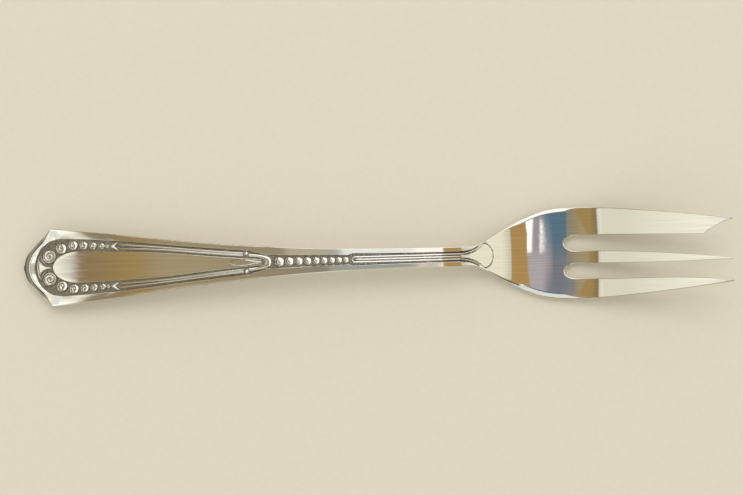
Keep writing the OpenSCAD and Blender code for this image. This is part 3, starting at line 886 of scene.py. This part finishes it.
def disc_slab(s, y, r, height, profile, steps=25):
    """A raised disc, seated square on the sloping ground. Its profile gives the share of the height and
    the dark share at a place on the disc, which on the beads also holds painted shade."""
    ring = np.sin(np.linspace(-math.pi / 2, math.pi / 2, steps))
    u, v = np.meshgrid(ring, ring, indexing="ij")
    plan_u = u * np.sqrt(1 - v * v / 2)
    plan_v = v * np.sqrt(1 - u * u / 2)
    rise, hollow = profile(plan_u, plan_v)
    angle = float(face_angle(s))
    level = float(ground_z(s))
    flat_s = s + r * plan_u * math.cos(angle)
    flat_z = level + r * plan_u * math.sin(angle)
    top_s = flat_s - height * rise * math.sin(angle)
    top_z = flat_z + height * rise * math.cos(angle)
    side = y + r * plan_v
    return sheet(top_s, side, top_z + DISC_FOOT), sheet(flat_s, side, flat_z), clamp(hollow)


def dome(u, v):
    rise = np.sqrt(np.maximum(0, 1 - u * u - v * v))
    return rise, smooth((0.3 - rise) / 0.3)


def pearl(u, v):
    """A low dome, dark round its foot, with painted shade on its side towards the handle end."""
    ring = np.hypot(u, v)
    # The second term is painted shade: it darkens each bead's side towards the handle end.
    return 1 - ring**2, smooth((ring - 0.84) / 0.16) + 0.35 * smooth((0.2 - u) / 0.4)


def swirl(pitch, groove_w, eye, flat=0.7):
    """A profile with a spiral groove of some pitch that winds in to a dark eye, domed over a flat share."""
    def profile(u, v):
        ring = np.hypot(u, v)
        turn = np.arctan2(v, u) / (2 * math.pi)
        phase = (1 - ring) / pitch - turn
        groove = np.exp(-((phase - np.round(phase)) / groove_w) ** 2)
        pit = np.exp(-(ring / eye) ** 2)
        edge = smooth((1 - ring) / 0.14)
        body = flat + (1 - flat) * (1 - ring**2)
        rise = body * (1 - 0.75 * np.maximum(groove, pit)) * (0.1 + 0.9 * edge)
        return rise, np.maximum(groove, pit) ** 2 + 1 - edge
    return profile


def volute():
    scroll = disc_slab(VOLUTE_S, VOLUTE_Y, VOLUTE_R, SCROLL_H, swirl(0.44, 0.13, 0.16), steps=71)
    tail_turn = np.radians(np.linspace(165, 262, 26))
    tail_r = 1.14 * VOLUTE_R
    tail = ridge_slab(
        VOLUTE_S + tail_r * np.cos(tail_turn),
        VOLUTE_Y + tail_r * np.sin(tail_turn),
        0.08 * VOLUTE_R * np.sin(np.linspace(0.25, math.pi - 0.25, 26)),
        0.7 * RELIEF_H,
    )
    return [scroll, tail]


def rosettes():
    drawing = swirl(0.68, 0.12, 0.14, 0.35)
    return [
        disc_slab(rosette_s(k), rosette_y(k), 1.04 * rosette_r(k), 1.2 * RELIEF_H, drawing, steps=41)
        for k in range(ROSETTES)
    ]


def palmette():
    start = NOSE_RIM_W + 0.55 * VOLUTE_R
    end = VOLUTE_S + 0.2 * VOLUTE_R
    u = np.linspace(0, 1, 30)
    s = mix(start, end, u)
    petal_half = VOLUTE_R * (0.06 + 0.98 * (1 - u) ** 2.4)
    petal = strip_slab(s, -petal_half, petal_half, 0.75 * RELIEF_H, 0.2 * petal_half)
    v = np.linspace(1, -1, 31)
    crescent = ridge_slab(
        NOSE_RIM_W + VOLUTE_R * (0.28 + 0.42 * v * v),
        1.55 * VOLUTE_R * v,
        VOLUTE_R * mix(0.05, 0.15, 1 - v * v),
        0.6 * RELIEF_H,
    )
    return [petal, crescent]


CHEVRON_S = rosette_s(ROSETTES - 1) + 2.4 * rosette_r(ROSETTES - 1)
CHEVRON_HALF = 0.29 * CHANNEL_W
CHEVRON_L = 0.5 * CHANNEL_W
CHEVRON_W = 0.2 * CHANNEL_W


def chevron():
    y = float(channel_mid(CHEVRON_S))
    v = np.linspace(1, -1, 27)
    arms = ridge_slab(
        CHEVRON_S + CHEVRON_W / 2 + CHEVRON_L * np.abs(v) ** 0.85,
        y + CHEVRON_HALF * v,
        CHEVRON_W / 2 * mix(1.5, 0.7, np.abs(v)),
        REED_H,
    )
    lozenge_l = 0.26 * CHANNEL_W
    u = np.linspace(-1, 1, 17)
    lozenge = ridge_slab(
        CHEVRON_S - lozenge_l + 0.7 * lozenge_l * u,
        np.full(17, y),
        0.6 * CHEVRON_HALF * (1.08 - np.abs(u)),
        0.35 * RELIEF_H,
    )
    return [arms, lozenge]


def reeds():
    """Two reeds that lie close side by side and open a little towards the arrow head."""
    s = pinched(CHEVRON_S + CHEVRON_L + 1.3 * CHEVRON_W, CUP_S - 1.3 * CURL_R, 0.8)
    gap = REED_W / 9 + 0.6 * (channel_at(s) - REED_CHANNEL_W)
    middle = panel_half(s) + channel_at(s) / 2
    offset = 0.58 * REED_W + gap / 2
    tip = np.minimum(1, 0.3 + (s - s[0]) / 1.2)
    return [
        ridge_slab(s, middle + side * offset, 0.72 * REED_W * tip, REED_H, fullness=0.4)
        for side in (-1, 1)
    ]


def panel():
    rows = np.concatenate([
        PANEL_FROM + PANEL_ROUND_L * np.linspace(0, 1, 40)[:-1] ** 2,
        pinched(PANEL_FROM + PANEL_ROUND_L, PANEL_TO, 0.6),
    ])
    side = panel_half(rows)
    return [strip_slab(rows, -side, side, PANEL_TOP, np.full(rows.shape, 0.16))]


def leaf_bud():
    """A low leaf on the panel's foot, which swells from its tip."""
    start = mix(PANEL_FROM, PANEL_TO, 0.845)
    u = np.linspace(0, 1, 40)
    s = mix(start, PANEL_TO, u)
    leaf_half = 0.8 * panel_half(s) * (0.06 + 0.94 * np.sin(np.radians(165 * u**0.7)))
    return [ridge_slab(s, np.zeros(40), leaf_half, 0.28 * RELIEF_H, base=PANEL_TOP, fullness=1.0)]


def cup():
    """A round-ended band that widens towards its front."""
    turn = np.radians(np.linspace(84, -84, 60))
    front = np.cos(turn) ** 4
    return [ridge_slab(
        CUP_S + (CUP_L - CUP_W * mix(0.5, 1.05, front)) * np.cos(turn),
        (CUP_HALF - CUP_W / 2) * np.sin(turn),
        CUP_W * mix(0.6, 1.1, front),
        SCROLL_H,
        fullness=0.9,
    )]


def curl():
    return [disc_slab(CUP_S, CUP_HALF, CURL_R, SCROLL_H, dome)]


def bead_row():
    return [disc_slab(bead_s(k), 0, bead_r(k), 0.5 * bead_r(k), pearl, steps=33) for k in range(BEADS)]


def stem_reeds():
    """Three reeds down the stem, the outer two joined by a loop at their start."""
    start = PLATE_END + STEM_REED_PITCH / 2
    loop_r = (STEM_REEDS - 1) / 2 * STEM_REED_PITCH
    straight = start + 1.25 * loop_r
    inner = pinched(straight, AT_WAIST, 0.8, extra=straight + np.linspace(0.1, 0.6, 6))
    half_w = 0.41 * STEM_REED_PITCH
    tapered = half_w * np.sqrt(clamp(0.08 + (inner - straight) / 0.5))
    turn = np.radians(np.linspace(90, 270, 41))
    side_s = pinched(straight + 0.1, AT_WAIST, 0.8)[::-1]
    side_y = np.full(side_s.shape, loop_r)
    loop_s = np.concatenate([side_s, straight + 1.25 * loop_r * np.cos(turn), side_s[::-1]])
    loop_y = np.concatenate([side_y, loop_r * np.sin(turn), -side_y])
    return [
        ridge_slab(inner, np.zeros(inner.shape), tapered, STEM_REED_H),
        ridge_slab(loop_s, loop_y, half_w, STEM_REED_H),
    ]


def neck_tongue():
    """A shield that swells down the neck to a round front."""
    u = np.linspace(0, 1, 30)
    s = np.concatenate([
        mix(TONGUE_FROM, TONGUE_WIDE, np.linspace(0, 1, 30)[:-1]),
        mix(TONGUE_TO, TONGUE_WIDE, (1 - u) ** 2),
    ])
    side = tongue_half(s)
    edge_w = np.minimum(0.16, EDGE_SHARE * side)
    y = columns(-side, side, edge_w, edge_w, 14)
    station = s[:, None]
    depth_in = np.minimum(side[:, None] - np.abs(y), (TONGUE_TO - station) * 1.2 + 0.02)
    proud = 0.3 * RELIEF_H
    top = face_z(station) + proud - quarter_round(depth_in, edge_w[:, None], 0.9 * proud)
    hollow = 1 - smooth(depth_in / 0.2)
    return [(sheet(station, y, top), sheet(station, y, ground_z(station)), hollow)]


def neck_reed():
    """Carries the stem's outer reed on beside the tongue."""
    s = pinched(AT_WAIST, mix(AT_WAIST, AT_BOWL, 0.34), 0.25)
    width = 0.7 * STEM_REED_PITCH
    stem_y = (STEM_REEDS - 1) / 2 * STEM_REED_PITCH
    u = (s - AT_WAIST) / (s[-1] - AT_WAIST)
    beside = np.minimum(tongue_half(s) + 0.25 * STEM_REED_PITCH, half(s) - 1.3 * width) + width / 2
    y = mix(stem_y, beside, smooth(2 * u))
    return [ridge_slab(s, y, width / 2 * mix(1, 0.7, u), STEM_REED_H)]


# Nodes of shaders
def fill(node, inputs):
    """Sets inputs of a node to values, or links them from sockets."""
    for name, value in inputs.items():
        if isinstance(value, bpy.types.NodeSocket):
            node.id_data.links.new(value, node.inputs[name])
        else:
            node.inputs[name].default_value = value
    return node


def add_node(tree, kind, inputs=(), **settings):
    node = tree.nodes.new(kind)
    for name, value in settings.items():
        setattr(node, name, value)
    return fill(node, dict(inputs))


def math_node(operation, *values):
    """A sum on sockets and numbers, in the tree that the sockets belong to."""
    tree = next(value.id_data for value in values if isinstance(value, bpy.types.NodeSocket))
    return add_node(tree, "ShaderNodeMath", dict(enumerate(values)), operation=operation).outputs[0]


def plus(a, b):
    return math_node("ADD", a, b)


def less(a, b):
    return math_node("SUBTRACT", a, b)


def times(a, b):
    return math_node("MULTIPLY", a, b)


def tint(share, a, b):
    """Colour a, changed to colour b by a share."""
    a, b = ((*colour, 1) if isinstance(colour, tuple) else colour for colour in (a, b))
    return add_node(share.id_data, "ShaderNodeMix", {0: share, 6: a, 7: b}, data_type="RGBA").outputs[2]


def ramp(value, low, high, to_low=0.0, to_high=1.0):
    inputs = {"Value": value, "From Min": low, "From Max": high, "To Min": to_low, "To Max": to_high}
    return add_node(value.id_data, "ShaderNodeMapRange", inputs, clamp=True).outputs[0]


def bump(height, strength, depth):
    inputs = {"Height": height, "Strength": strength, "Distance": depth}
    return add_node(height.id_data, "ShaderNodeBump", inputs).outputs[0]


def noise(place, scale, detail):
    inputs = {"Vector": place, "Scale": scale, "Detail": detail}
    return add_node(place.id_data, "ShaderNodeTexNoise", inputs).outputs[0]


def axes(vector):
    return add_node(vector.id_data, "ShaderNodeSeparateXYZ", {"Vector": vector}).outputs


def new_group(name, inputs, outputs):
    tree = bpy.data.node_groups.new(name, "ShaderNodeTree")
    for label, default in inputs.items():
        socket = tree.interface.new_socket(label, in_out="INPUT", socket_type="NodeSocketFloat")
        socket.default_value = default
    for label in outputs:
        tree.interface.new_socket(label, in_out="OUTPUT", socket_type="NodeSocketFloat")
    return tree, tree.nodes.new("NodeGroupInput").outputs, tree.nodes.new("NodeGroupOutput").inputs


def millimetres(tree):
    """Places on the fork in millimetres."""
    place = tree.nodes.new("ShaderNodeTexCoord").outputs["Object"]
    return add_node(tree, "ShaderNodeMapping", {"Vector": place, "Scale": (1 / MM,) * 3}).outputs[0]


def polishing_lines():
    """Fine lines along the fork: a long soft kind and a short scratchy kind."""
    tree, given, out = new_group("polishing_lines", {"Pitch": 0.25, "Length": 14.0}, ["Lines", "Scratches"])
    x, y, _ = axes(tree.nodes.new("ShaderNodeTexCoord").outputs["Object"])

    def lines(length, pitch):
        along = math_node("DIVIDE", x, times(length, MM))
        across = math_node("DIVIDE", y, times(pitch, MM))
        return noise(add_node(tree, "ShaderNodeCombineXYZ", {"X": along, "Y": across}).outputs[0], 1.0, 3.0)

    scratches = lines(times(given["Length"], 0.35), times(given["Pitch"], 0.45))
    tree.links.new(ramp(lines(given["Length"], given["Pitch"]), 0.3, 0.7), out["Lines"])
    tree.links.new(ramp(scratches, 0.55, 0.72), out["Scratches"])
    return tree


def tarnish():
    """Dark oxidised silver left in the recesses: all of a deep recess and specks beside it. The same share
    carries painted shade where a piece marks it.
    """
    tree, given, out = new_group("tarnish", {"Hollow": 0.0, "Reach": 0.5}, ["Oxide"])
    uneven = ramp(noise(millimetres(tree), 5.0, 4.0), 0.35, 0.65, -0.3, 0.3)
    past = less(plus(given["Hollow"], uneven), less(1.0, given["Reach"]))
    tree.links.new(ramp(past, 0.0, 0.4), out["Oxide"])
    return tree


def stipple():
    """The matted ground: small punched dots over a fine hatching."""
    tree, given, out = new_group("stipple", {"Dot": 0.22}, ["Height"])
    place = millimetres(tree)
    pitch = math_node("DIVIDE", 1.0, given["Dot"])
    dots = add_node(tree, "ShaderNodeTexVoronoi", {"Vector": place, "Scale": pitch}).outputs["Distance"]
    tree.links.new(plus(dots, times(noise(place, 9.0, 2.0), 0.5)), out["Height"])
    return tree


GROUPS = {"lines": polishing_lines(), "tarnish": tarnish(), "stipple": stipple()}


def use_group(tree, key, **inputs):
    return fill(add_node(tree, "ShaderNodeGroup", node_tree=GROUPS[key]), inputs).outputs


def new_material(name):
    material = bpy.data.materials.new(name)
    material.use_nodes = True
    return material, material.node_tree, material.node_tree.nodes["Principled BSDF"]


BRIGHT = (0.97, 0.95, 0.9)
WORN = (0.84, 0.81, 0.74)
# Dark oxidised colour of the recesses, also used for the painted shade on the beads and the side borders'
# outer edges
OXIDE_AND_SHADE = (0.13, 0.105, 0.075)
GROUND = (0.42, 0.38, 0.31)
# Colour of the painted shade on the near half of the tines
TINE_SHADE_COLOUR = (0.72, 0.7, 0.62)


def new_silver(name, pitch, length, reach):
    """A metal with polishing lines of some pitch and length, and dark oxidised silver that reaches out of
    the recesses, which also carries painted shade on the beads' handle-end sides and the side borders'
    outer edges.
    """
    material, tree, shader = new_material(name)
    shader.inputs["Metallic"].default_value = 1
    lines = use_group(tree, "lines", Pitch=pitch, Length=length)
    share = add_node(tree, "ShaderNodeAttribute", attribute_name="hollow").outputs["Fac"]
    oxide_and_shade = use_group(tree, "tarnish", Hollow=share, Reach=reach)["Oxide"]
    silver = tint(lines["Lines"], BRIGHT, WORN)
    return material, tree, shader, lines, oxide_and_shade, silver


def polished_silver():
    """Mirror polish with faint lines along the fork, and painted shade that darkens the near half of the
    tines.
    """
    material, tree, shader, lines, oxide_and_shade, silver = new_silver("polished_silver", 0.24, 9.0, 0.55)
    along = axes(millimetres(tree))[0]
    root_x = AT_ROOT - MID_X
    # Painted shade: a darker base colour over the near half of the tines, where their reflection ran too
    # bright
    painted_tine_shade = times(ramp(along, root_x + 6.5, root_x + 8), ramp(along, root_x + 12, root_x + 27, 1, 0))
    silver = tint(painted_tine_shade, silver, TINE_SHADE_COLOUR)
    polish = ramp(lines["Scratches"], 0.0, 1.0, 0.01, 0.035)
    fill(shader, {
        "Base Color": tint(oxide_and_shade, silver, OXIDE_AND_SHADE),
        "Roughness": math_node("MAXIMUM", polish, times(oxide_and_shade, 0.5)),
        "Normal": bump(lines["Lines"], 0.09, 0.00001),
    })
    return material


def satin_silver():
    """Soft brushed silver, worn in long lines."""
    material, tree, shader, lines, oxide_and_shade, silver = new_silver("satin_silver", 0.55, 22.0, 0.5)
    fill(shader, {
        "Base Color": tint(oxide_and_shade, silver, OXIDE_AND_SHADE),
        "Roughness": ramp(lines["Lines"], 0.0, 1.0, 0.03, 0.07),
        "Normal": bump(lines["Scratches"], 0.2, 0.00001),
    })
    return material


def relief_silver():
    """Polished crests over recesses that hold dark oxidised silver."""
    material, tree, shader, lines, oxide_and_shade, silver = new_silver("relief_silver", 0.2, 6.0, 0.6)
    fill(shader, {
        "Base Color": tint(oxide_and_shade, silver, OXIDE_AND_SHADE),
        "Roughness": ramp(oxide_and_shade, 0.0, 1.0, 0.06, 0.55),
    })
    return material


def sunk_ground():
    """Dark matted ground between the ornaments, and plain polish on the edges and the under side."""
    material, tree, shader, lines, oxide_and_shade, silver = new_silver("sunk_ground", 0.3, 9.0, 0.5)
    height = use_group(tree, "stipple", Dot=0.3)["Height"]
    dark = tint(ramp(height, 0.25, 0.8), OXIDE_AND_SHADE, GROUND)
    fill(shader, {
        "Base Color": tint(oxide_and_shade, silver, dark),
        "Roughness": ramp(oxide_and_shade, 0.0, 1.0, 0.12, 0.5),
        "Normal": bump(times(height, oxide_and_shade), 0.5, 0.00006),
    })
    return material


SLOTS = {make.__name__: make() for make in (polished_silver, satin_silver, relief_silver, sunk_ground)}


def slot_of(name):
    return next(part["material_slot"] for part in frame["record"]["subparts"] if part["node"] == name)


def make_fork():
    singles = [
        handle_plate, stem, neck, bowl, cutting_tine, middle_tine, outer_tine,
        end_border, panel, palmette, leaf_bud, cup, bead_row, stem_reeds, neck_tongue,
    ]
    pairs = {
        "border": left_border, "reeds": reeds, "chevron": chevron, "rosettes": rosettes,
        "volute": volute, "curl": curl, "neck_reed": neck_reed,
    }
    made = {make.__name__: make() for make in singles}
    for name, make in pairs.items():
        made["left_" + name], made["right_" + name] = both_sides(make)
    return {
        name: add_piece(name, slabs, SLOTS[slot_of(name)])
        for name, slabs in made.items()
    }


# Table, camera, room and lamps
CAMERA_UP = 0.4
CAMERA_X = -0.0005
CAMERA_Y = 0.0024
CAMERA_TURN = math.radians(-1.607)
SENSOR_W = 36
PHOTO_W = 743
FOCAL_PIXELS = 1884.7
FLOOR_HALF = 3
FLOOR_Z = -0.00003
FLOOR_COLOUR = (0.78, 0.72, 0.59)


def add_floor():
    mesh = bpy.data.meshes.new("table_mesh")
    corners = [(x * FLOOR_HALF, y * FLOOR_HALF, FLOOR_Z) for x, y in ((-1, -1), (1, -1), (1, 1), (-1, 1))]
    mesh.from_pydata(corners, [], [(0, 1, 2, 3)])
    material, tree, shader = new_material("table_top")
    shade = ramp(noise(millimetres(tree), 0.9, 5.0), 0.3, 0.7, 0.97, 1.0)
    colour = tint(shade, (0, 0, 0), FLOOR_COLOUR)
    fill(shader, {"Base Color": colour, "Roughness": 0.9, "Specular IOR Level": 0.1})
    mesh.materials.append(material)
    floor = bpy.data.objects.new("table", mesh)
    bpy.context.collection.objects.link(floor)


def add_camera():
    data = bpy.data.cameras.new("camera")
    data.sensor_width = SENSOR_W
    data.lens = SENSOR_W * FOCAL_PIXELS / PHOTO_W
    data.clip_start = 0.01
    camera = bpy.data.objects.new("camera", data)
    camera.location = (CAMERA_X, CAMERA_Y, CAMERA_UP)
    camera.rotation_euler = (0, 0, CAMERA_TURN)
    bpy.context.collection.objects.link(camera)
    bpy.context.scene.camera = camera


# What the silver mirrors, nearly overhead and from the far side, beyond the handle end, to the near one,
# beyond the tines. Along is the angle from straight up towards the tines, and across towards the cutting
# tine's side, both in degrees.
DARK = (0.035, 0.03, 0.022)
OLIVE = (0.13, 0.11, 0.08)
GREY = (0.3, 0.28, 0.23)
OFF_WHITE = (0.95, 0.93, 0.82)
DIM = (0.72, 0.72, 0.65)
DOOR_EDGE = (0.27, 0.19, 0.1)
BROWN = (0.37, 0.26, 0.1)
UMBER = (0.25, 0.18, 0.1)
TAN = (0.33, 0.23, 0.12)
LOBE = (0.38, 0.31, 0.19)
DULL = (0.32, 0.27, 0.18)
STONE = (0.27, 0.25, 0.2)
BLUE = (0.11, 0.19, 0.26)
SKY = (0.26, 0.31, 0.37)
VIOLET = (0.36, 0.33, 0.38)
WARM = (0.44, 0.285, 0.105)
LINEN = (0.62, 0.6, 0.5)
CREAM = (0.86, 0.84, 0.67)
SLATE = (0.2, 0.21, 0.25)
PINK_GREY = (0.45, 0.41, 0.44)
WHITE = (1.25, 1.25, 1.22)
FAR_BANDS = [
    (-90, OLIVE), (-78, DARK), (-72, GREY), (-60, GREY), (-54, DARK), (-47, DARK), (-40, OFF_WHITE),
    (-27.9, OFF_WHITE), (-27.2, DIM), (-26.6, DIM), (-25.8, UMBER), (-21, TAN), (-17.5, LOBE),
    (-13, LOBE), (-6, DULL), (-1, STONE),
]
NEAR_BANDS = [(11.1, WARM), (27.3, WARM), (28.8, LINEN), (42, CREAM), (78, CREAM), (90, OLIVE)]
HIGH_BANDS = [(0.6, BLUE), (6.6, BLUE), (7.4, SKY), (7.8, VIOLET), (10.9, VIOLET)]
LOW_BANDS = [(1.2, SLATE), (6.8, SLATE), (7.6, PINK_GREY), (10.9, PINK_GREY)]
LIGHT_SIDE = (1.1, 1.1, 1.08)
LOW_LIGHT = (0.76, 0.79, 0.76)
SHADE_SIDE = (0.36, 0.32, 0.24)
HAZE = (0.23, 0.24, 0.27)
FLANK = (0.27, 0.22, 0.14)
TAN_SIDE = (0.45, 0.4, 0.28)
PLAIN_LIGHT = (0.78, 0.77, 0.74)
BACKDROP = (0.93, 0.91, 0.87)


def band(value, low, high, soft=0.15):
    """1 between two angles, else 0."""
    up = ramp(value, low - soft, low + soft)
    return times(up, ramp(value, high + soft, high - soft))


def wall(along, bands):
    node = add_node(along.id_data, "ShaderNodeValToRGB", {"Fac": ramp(along, -90, 90)})
    stops = node.color_ramp.elements
    while len(stops) < len(bands):
        stops.new(1.0)
    for stop, (angle, colour) in zip(stops, bands):
        stop.position = (angle + 90) / 180
        stop.color = (*colour, 1)
    return node.outputs[0]


def long_walls(along, across, aside):
    """The room along the fork, whose high and low halves differ overhead, with a brown door that stands
    ajar on the far side: its edge slants away from the middle on both sides."""
    high_wall = wall(along, FAR_BANDS + HIGH_BANDS + NEAR_BANDS)
    low_wall = wall(along, FAR_BANDS + LOW_BANDS + NEAR_BANDS)
    colour = tint(ramp(across, -3, 1.5), high_wall, low_wall)
    haze = times(band(along, -6, 1.5, 1.2), ramp(across, 0.5, 2.5))
    colour = tint(haze, colour, HAZE)
    door_aside = math_node("MAXIMUM", less(math_node("MINIMUM", aside, 14), 4.7), 0)
    before_door = less(along, times(door_aside, 1.8))
    door = times(ramp(before_door, -18.5, -20), ramp(along, -26.7, -25.7))
    return tint(door, colour, tint(ramp(along, -25.7, -20.5), DOOR_EDGE, BROWN))


def window_panes(along, across):
    """Share of a broad window pane with a slanted edge and a slim one, nearly overhead on the low side."""
    slanted = less(along, ramp(across, -5, -12, 0, 4))
    pane = times(times(ramp(along, 9.7, 9.82), ramp(slanted, 11.05, 10.9)), band(across, -20, -0.8))
    leaning = plus(along, ramp(across, -1, -13, 0, 0.5))
    slit = times(band(leaning, 7.8, 8.12, 0.03), band(across, -7.8, -0.8, 0.5))
    return math_node("MAXIMUM", pane, slit)


def room_sides(along, across, aside, colour):
    """Sides of the room: dull on the far side, and towards the near side lit where it is high, and where it
    is low pale overhead, then dark and then tan."""
    leant = plus(along, times(aside, 0.12))
    flank = times(times(ramp(aside, 14, 17), ramp(leant, -27.6, -26.7)), ramp(along, -1, -4))
    colour = tint(flank, colour, FLANK)
    colour = tint(times(ramp(aside, 31, 35), ramp(along, -47, -42)), colour, TAN_SIDE)
    bright_from = plus(along, times(across, 0.5))
    colour = tint(times(ramp(across, 15, 19), ramp(bright_from, 0, 4)), colour, LIGHT_SIDE)
    near_low = tint(ramp(across, -36, -42), DARK, TAN_SIDE)
    low_colour = tint(ramp(along, 9, 14), LOW_LIGHT, near_low)
    low_colour = tint(times(ramp(across, -56, -60), ramp(along, 20, 14)), low_colour, DARK)
    low_colour = tint(ramp(across, -70, -76), low_colour, SHADE_SIDE)
    return tint(times(ramp(across, -15, -19), ramp(along, -20, -16)), colour, low_colour)


def room_colour(tree):
    x, y, z = axes(tree.nodes.new("ShaderNodeTexCoord").outputs["Generated"])
    along, across = (math_node("DEGREES", math_node("ARCTAN2", leg, z)) for leg in (x, y))
    aside = math_node("ABSOLUTE", across)
    colour = long_walls(along, across, aside)
    colour = tint(window_panes(along, across), colour, WHITE)
    colour = room_sides(along, across, aside, colour)
    # Plain light low down in the room's corners
    far_along = ramp(math_node("ABSOLUTE", along), 60, 68)
    corner = times(far_along, ramp(aside, 52, 62))
    return tint(corner, colour, LINEN)


def add_room():
    world = bpy.data.worlds.new("room")
    world.use_nodes = True
    world.cycles.sampling_method = "NONE"
    tree = world.node_tree
    path = tree.nodes.new("ShaderNodeLightPath").outputs
    seen = tint(path["Is Glossy Ray"], PLAIN_LIGHT, room_colour(tree))
    seen = tint(path["Is Camera Ray"], seen, BACKDROP)
    tree.links.new(seen, tree.nodes["Background"].inputs["Color"])
    bpy.context.scene.world = world


def add_lamp(name, place, width, depth, power, colour=(1, 1, 1), pieces=()):
    """A soft lamp turned to the fork. Where pieces are given, only they are lit by it, and mirror it.
    Without them it lights everything, and nothing mirrors it."""
    data = bpy.data.lights.new(name, "AREA")
    data.shape = "RECTANGLE"
    data.size = width
    data.size_y = depth
    data.energy = power
    data.color = colour
    lamp = bpy.data.objects.new(name, data)
    lamp.location = place
    back = -np.array(place) / np.linalg.norm(place)
    tilt_x = math.asin(-back[1])
    lamp.rotation_euler = (-tilt_x, math.atan2(-back[0], -back[2]), 0)
    lamp.visible_camera = False
    lamp.visible_glossy = bool(pieces)
    bpy.context.collection.objects.link(lamp)
    if pieces:
        group = bpy.data.collections.new(name + "_sees")
        for piece in pieces:
            group.objects.link(piece)
        lamp.light_linking.receiver_collection = group


def by_angle(along, across, distance):
    """A place at some distance above the fork, by its angles from straight up."""
    x = math.tan(math.radians(along))
    y = math.tan(math.radians(across))
    scale = distance / math.sqrt(1 + x * x + y * y)
    return (x * scale, y * scale, scale)


KEY_AWAY = 1.2
KEY_SIZE = (0.8, 0.6)
KEY_POWER = 3.5
FAR = 2.0
PLAIN = (1, 1, 1)
WARMER = (1, 0.9, 0.7)
COOLER = (0.82, 0.94, 1)


def mirrored_lamp(name, along, across, wide, deep, radiance, colour, seen_by):
    """A lamp of some angular size, in degrees to each side, seen in the silver of some pieces."""
    width = 2 * FAR * math.tan(math.radians(wide))
    depth = 2 * FAR * math.tan(math.radians(deep))
    power = radiance * math.pi * width * depth
    add_lamp(name, by_angle(along, across, FAR), width, depth, power, colour, seen_by)


def add_lamps(pieces):
    """A soft key lamp from above, and lamps that only some pieces mirror."""
    add_lamp("key_lamp", by_angle(-4, 30, KEY_AWAY), *KEY_SIZE, KEY_POWER)
    stem_part, left, right, nose = (
        pieces[name] for name in ("stem", "left_border", "right_border", "end_border")
    )
    mirrored_lamp("stem_lamp", 6, -2, 5.4, 22, 1.15, PLAIN, [stem_part, pieces["stem_reeds"]])
    mirrored_lamp("left_edge_lamp", 6, -2, 5.4, 22, 0.7, (1, 0.97, 0.86), [left])
    mirrored_lamp("stem_glow", -2.2, -2, 2.8, 22, 0.2, WARMER, [left])
    mirrored_lamp("edge_lamp", 5.4, -2, 6, 22, 0.2, (1, 0.85, 0.4), [right])
    mirrored_lamp("nose_lamp", 2, 0, 16, 12, 0.36, (0.6, 0.8, 1), [nose])
    for name, across, border in (("high", 21, right), ("low", -21, left)):
        mirrored_lamp(name + "_facet_lamp", -17, across, 14.8, 16, 0.64, COOLER, [nose])
        mirrored_lamp(name + "_corner_lamp", -33.1, across, 2, 16, 0.3, PLAIN, [border])
    chevrons = [pieces[side + "chevron"] for side in ("left_", "right_")]
    ornament = [
        pieces[side + part] for part in ("volute", "rosettes", "curl") for side in ("left_", "right_")
    ]
    mirrored_lamp("end_lamp", 2, 0, 13, 29, 1.0, PLAIN, [pieces["palmette"], *ornament])
    mirrored_lamp("chevron_lamp", 25, 0, 38, 50, 0.7, PLAIN, chevrons)
    mirrored_lamp("bead_lamp", 58, 0, 25, 52, 0.9, PLAIN, [pieces["bead_row"], pieces["cup"]])


fork = make_fork()
add_floor()
add_camera()
add_room()
add_lamps(fork)
bpy.context.scene.view_settings.view_transform = "Standard"
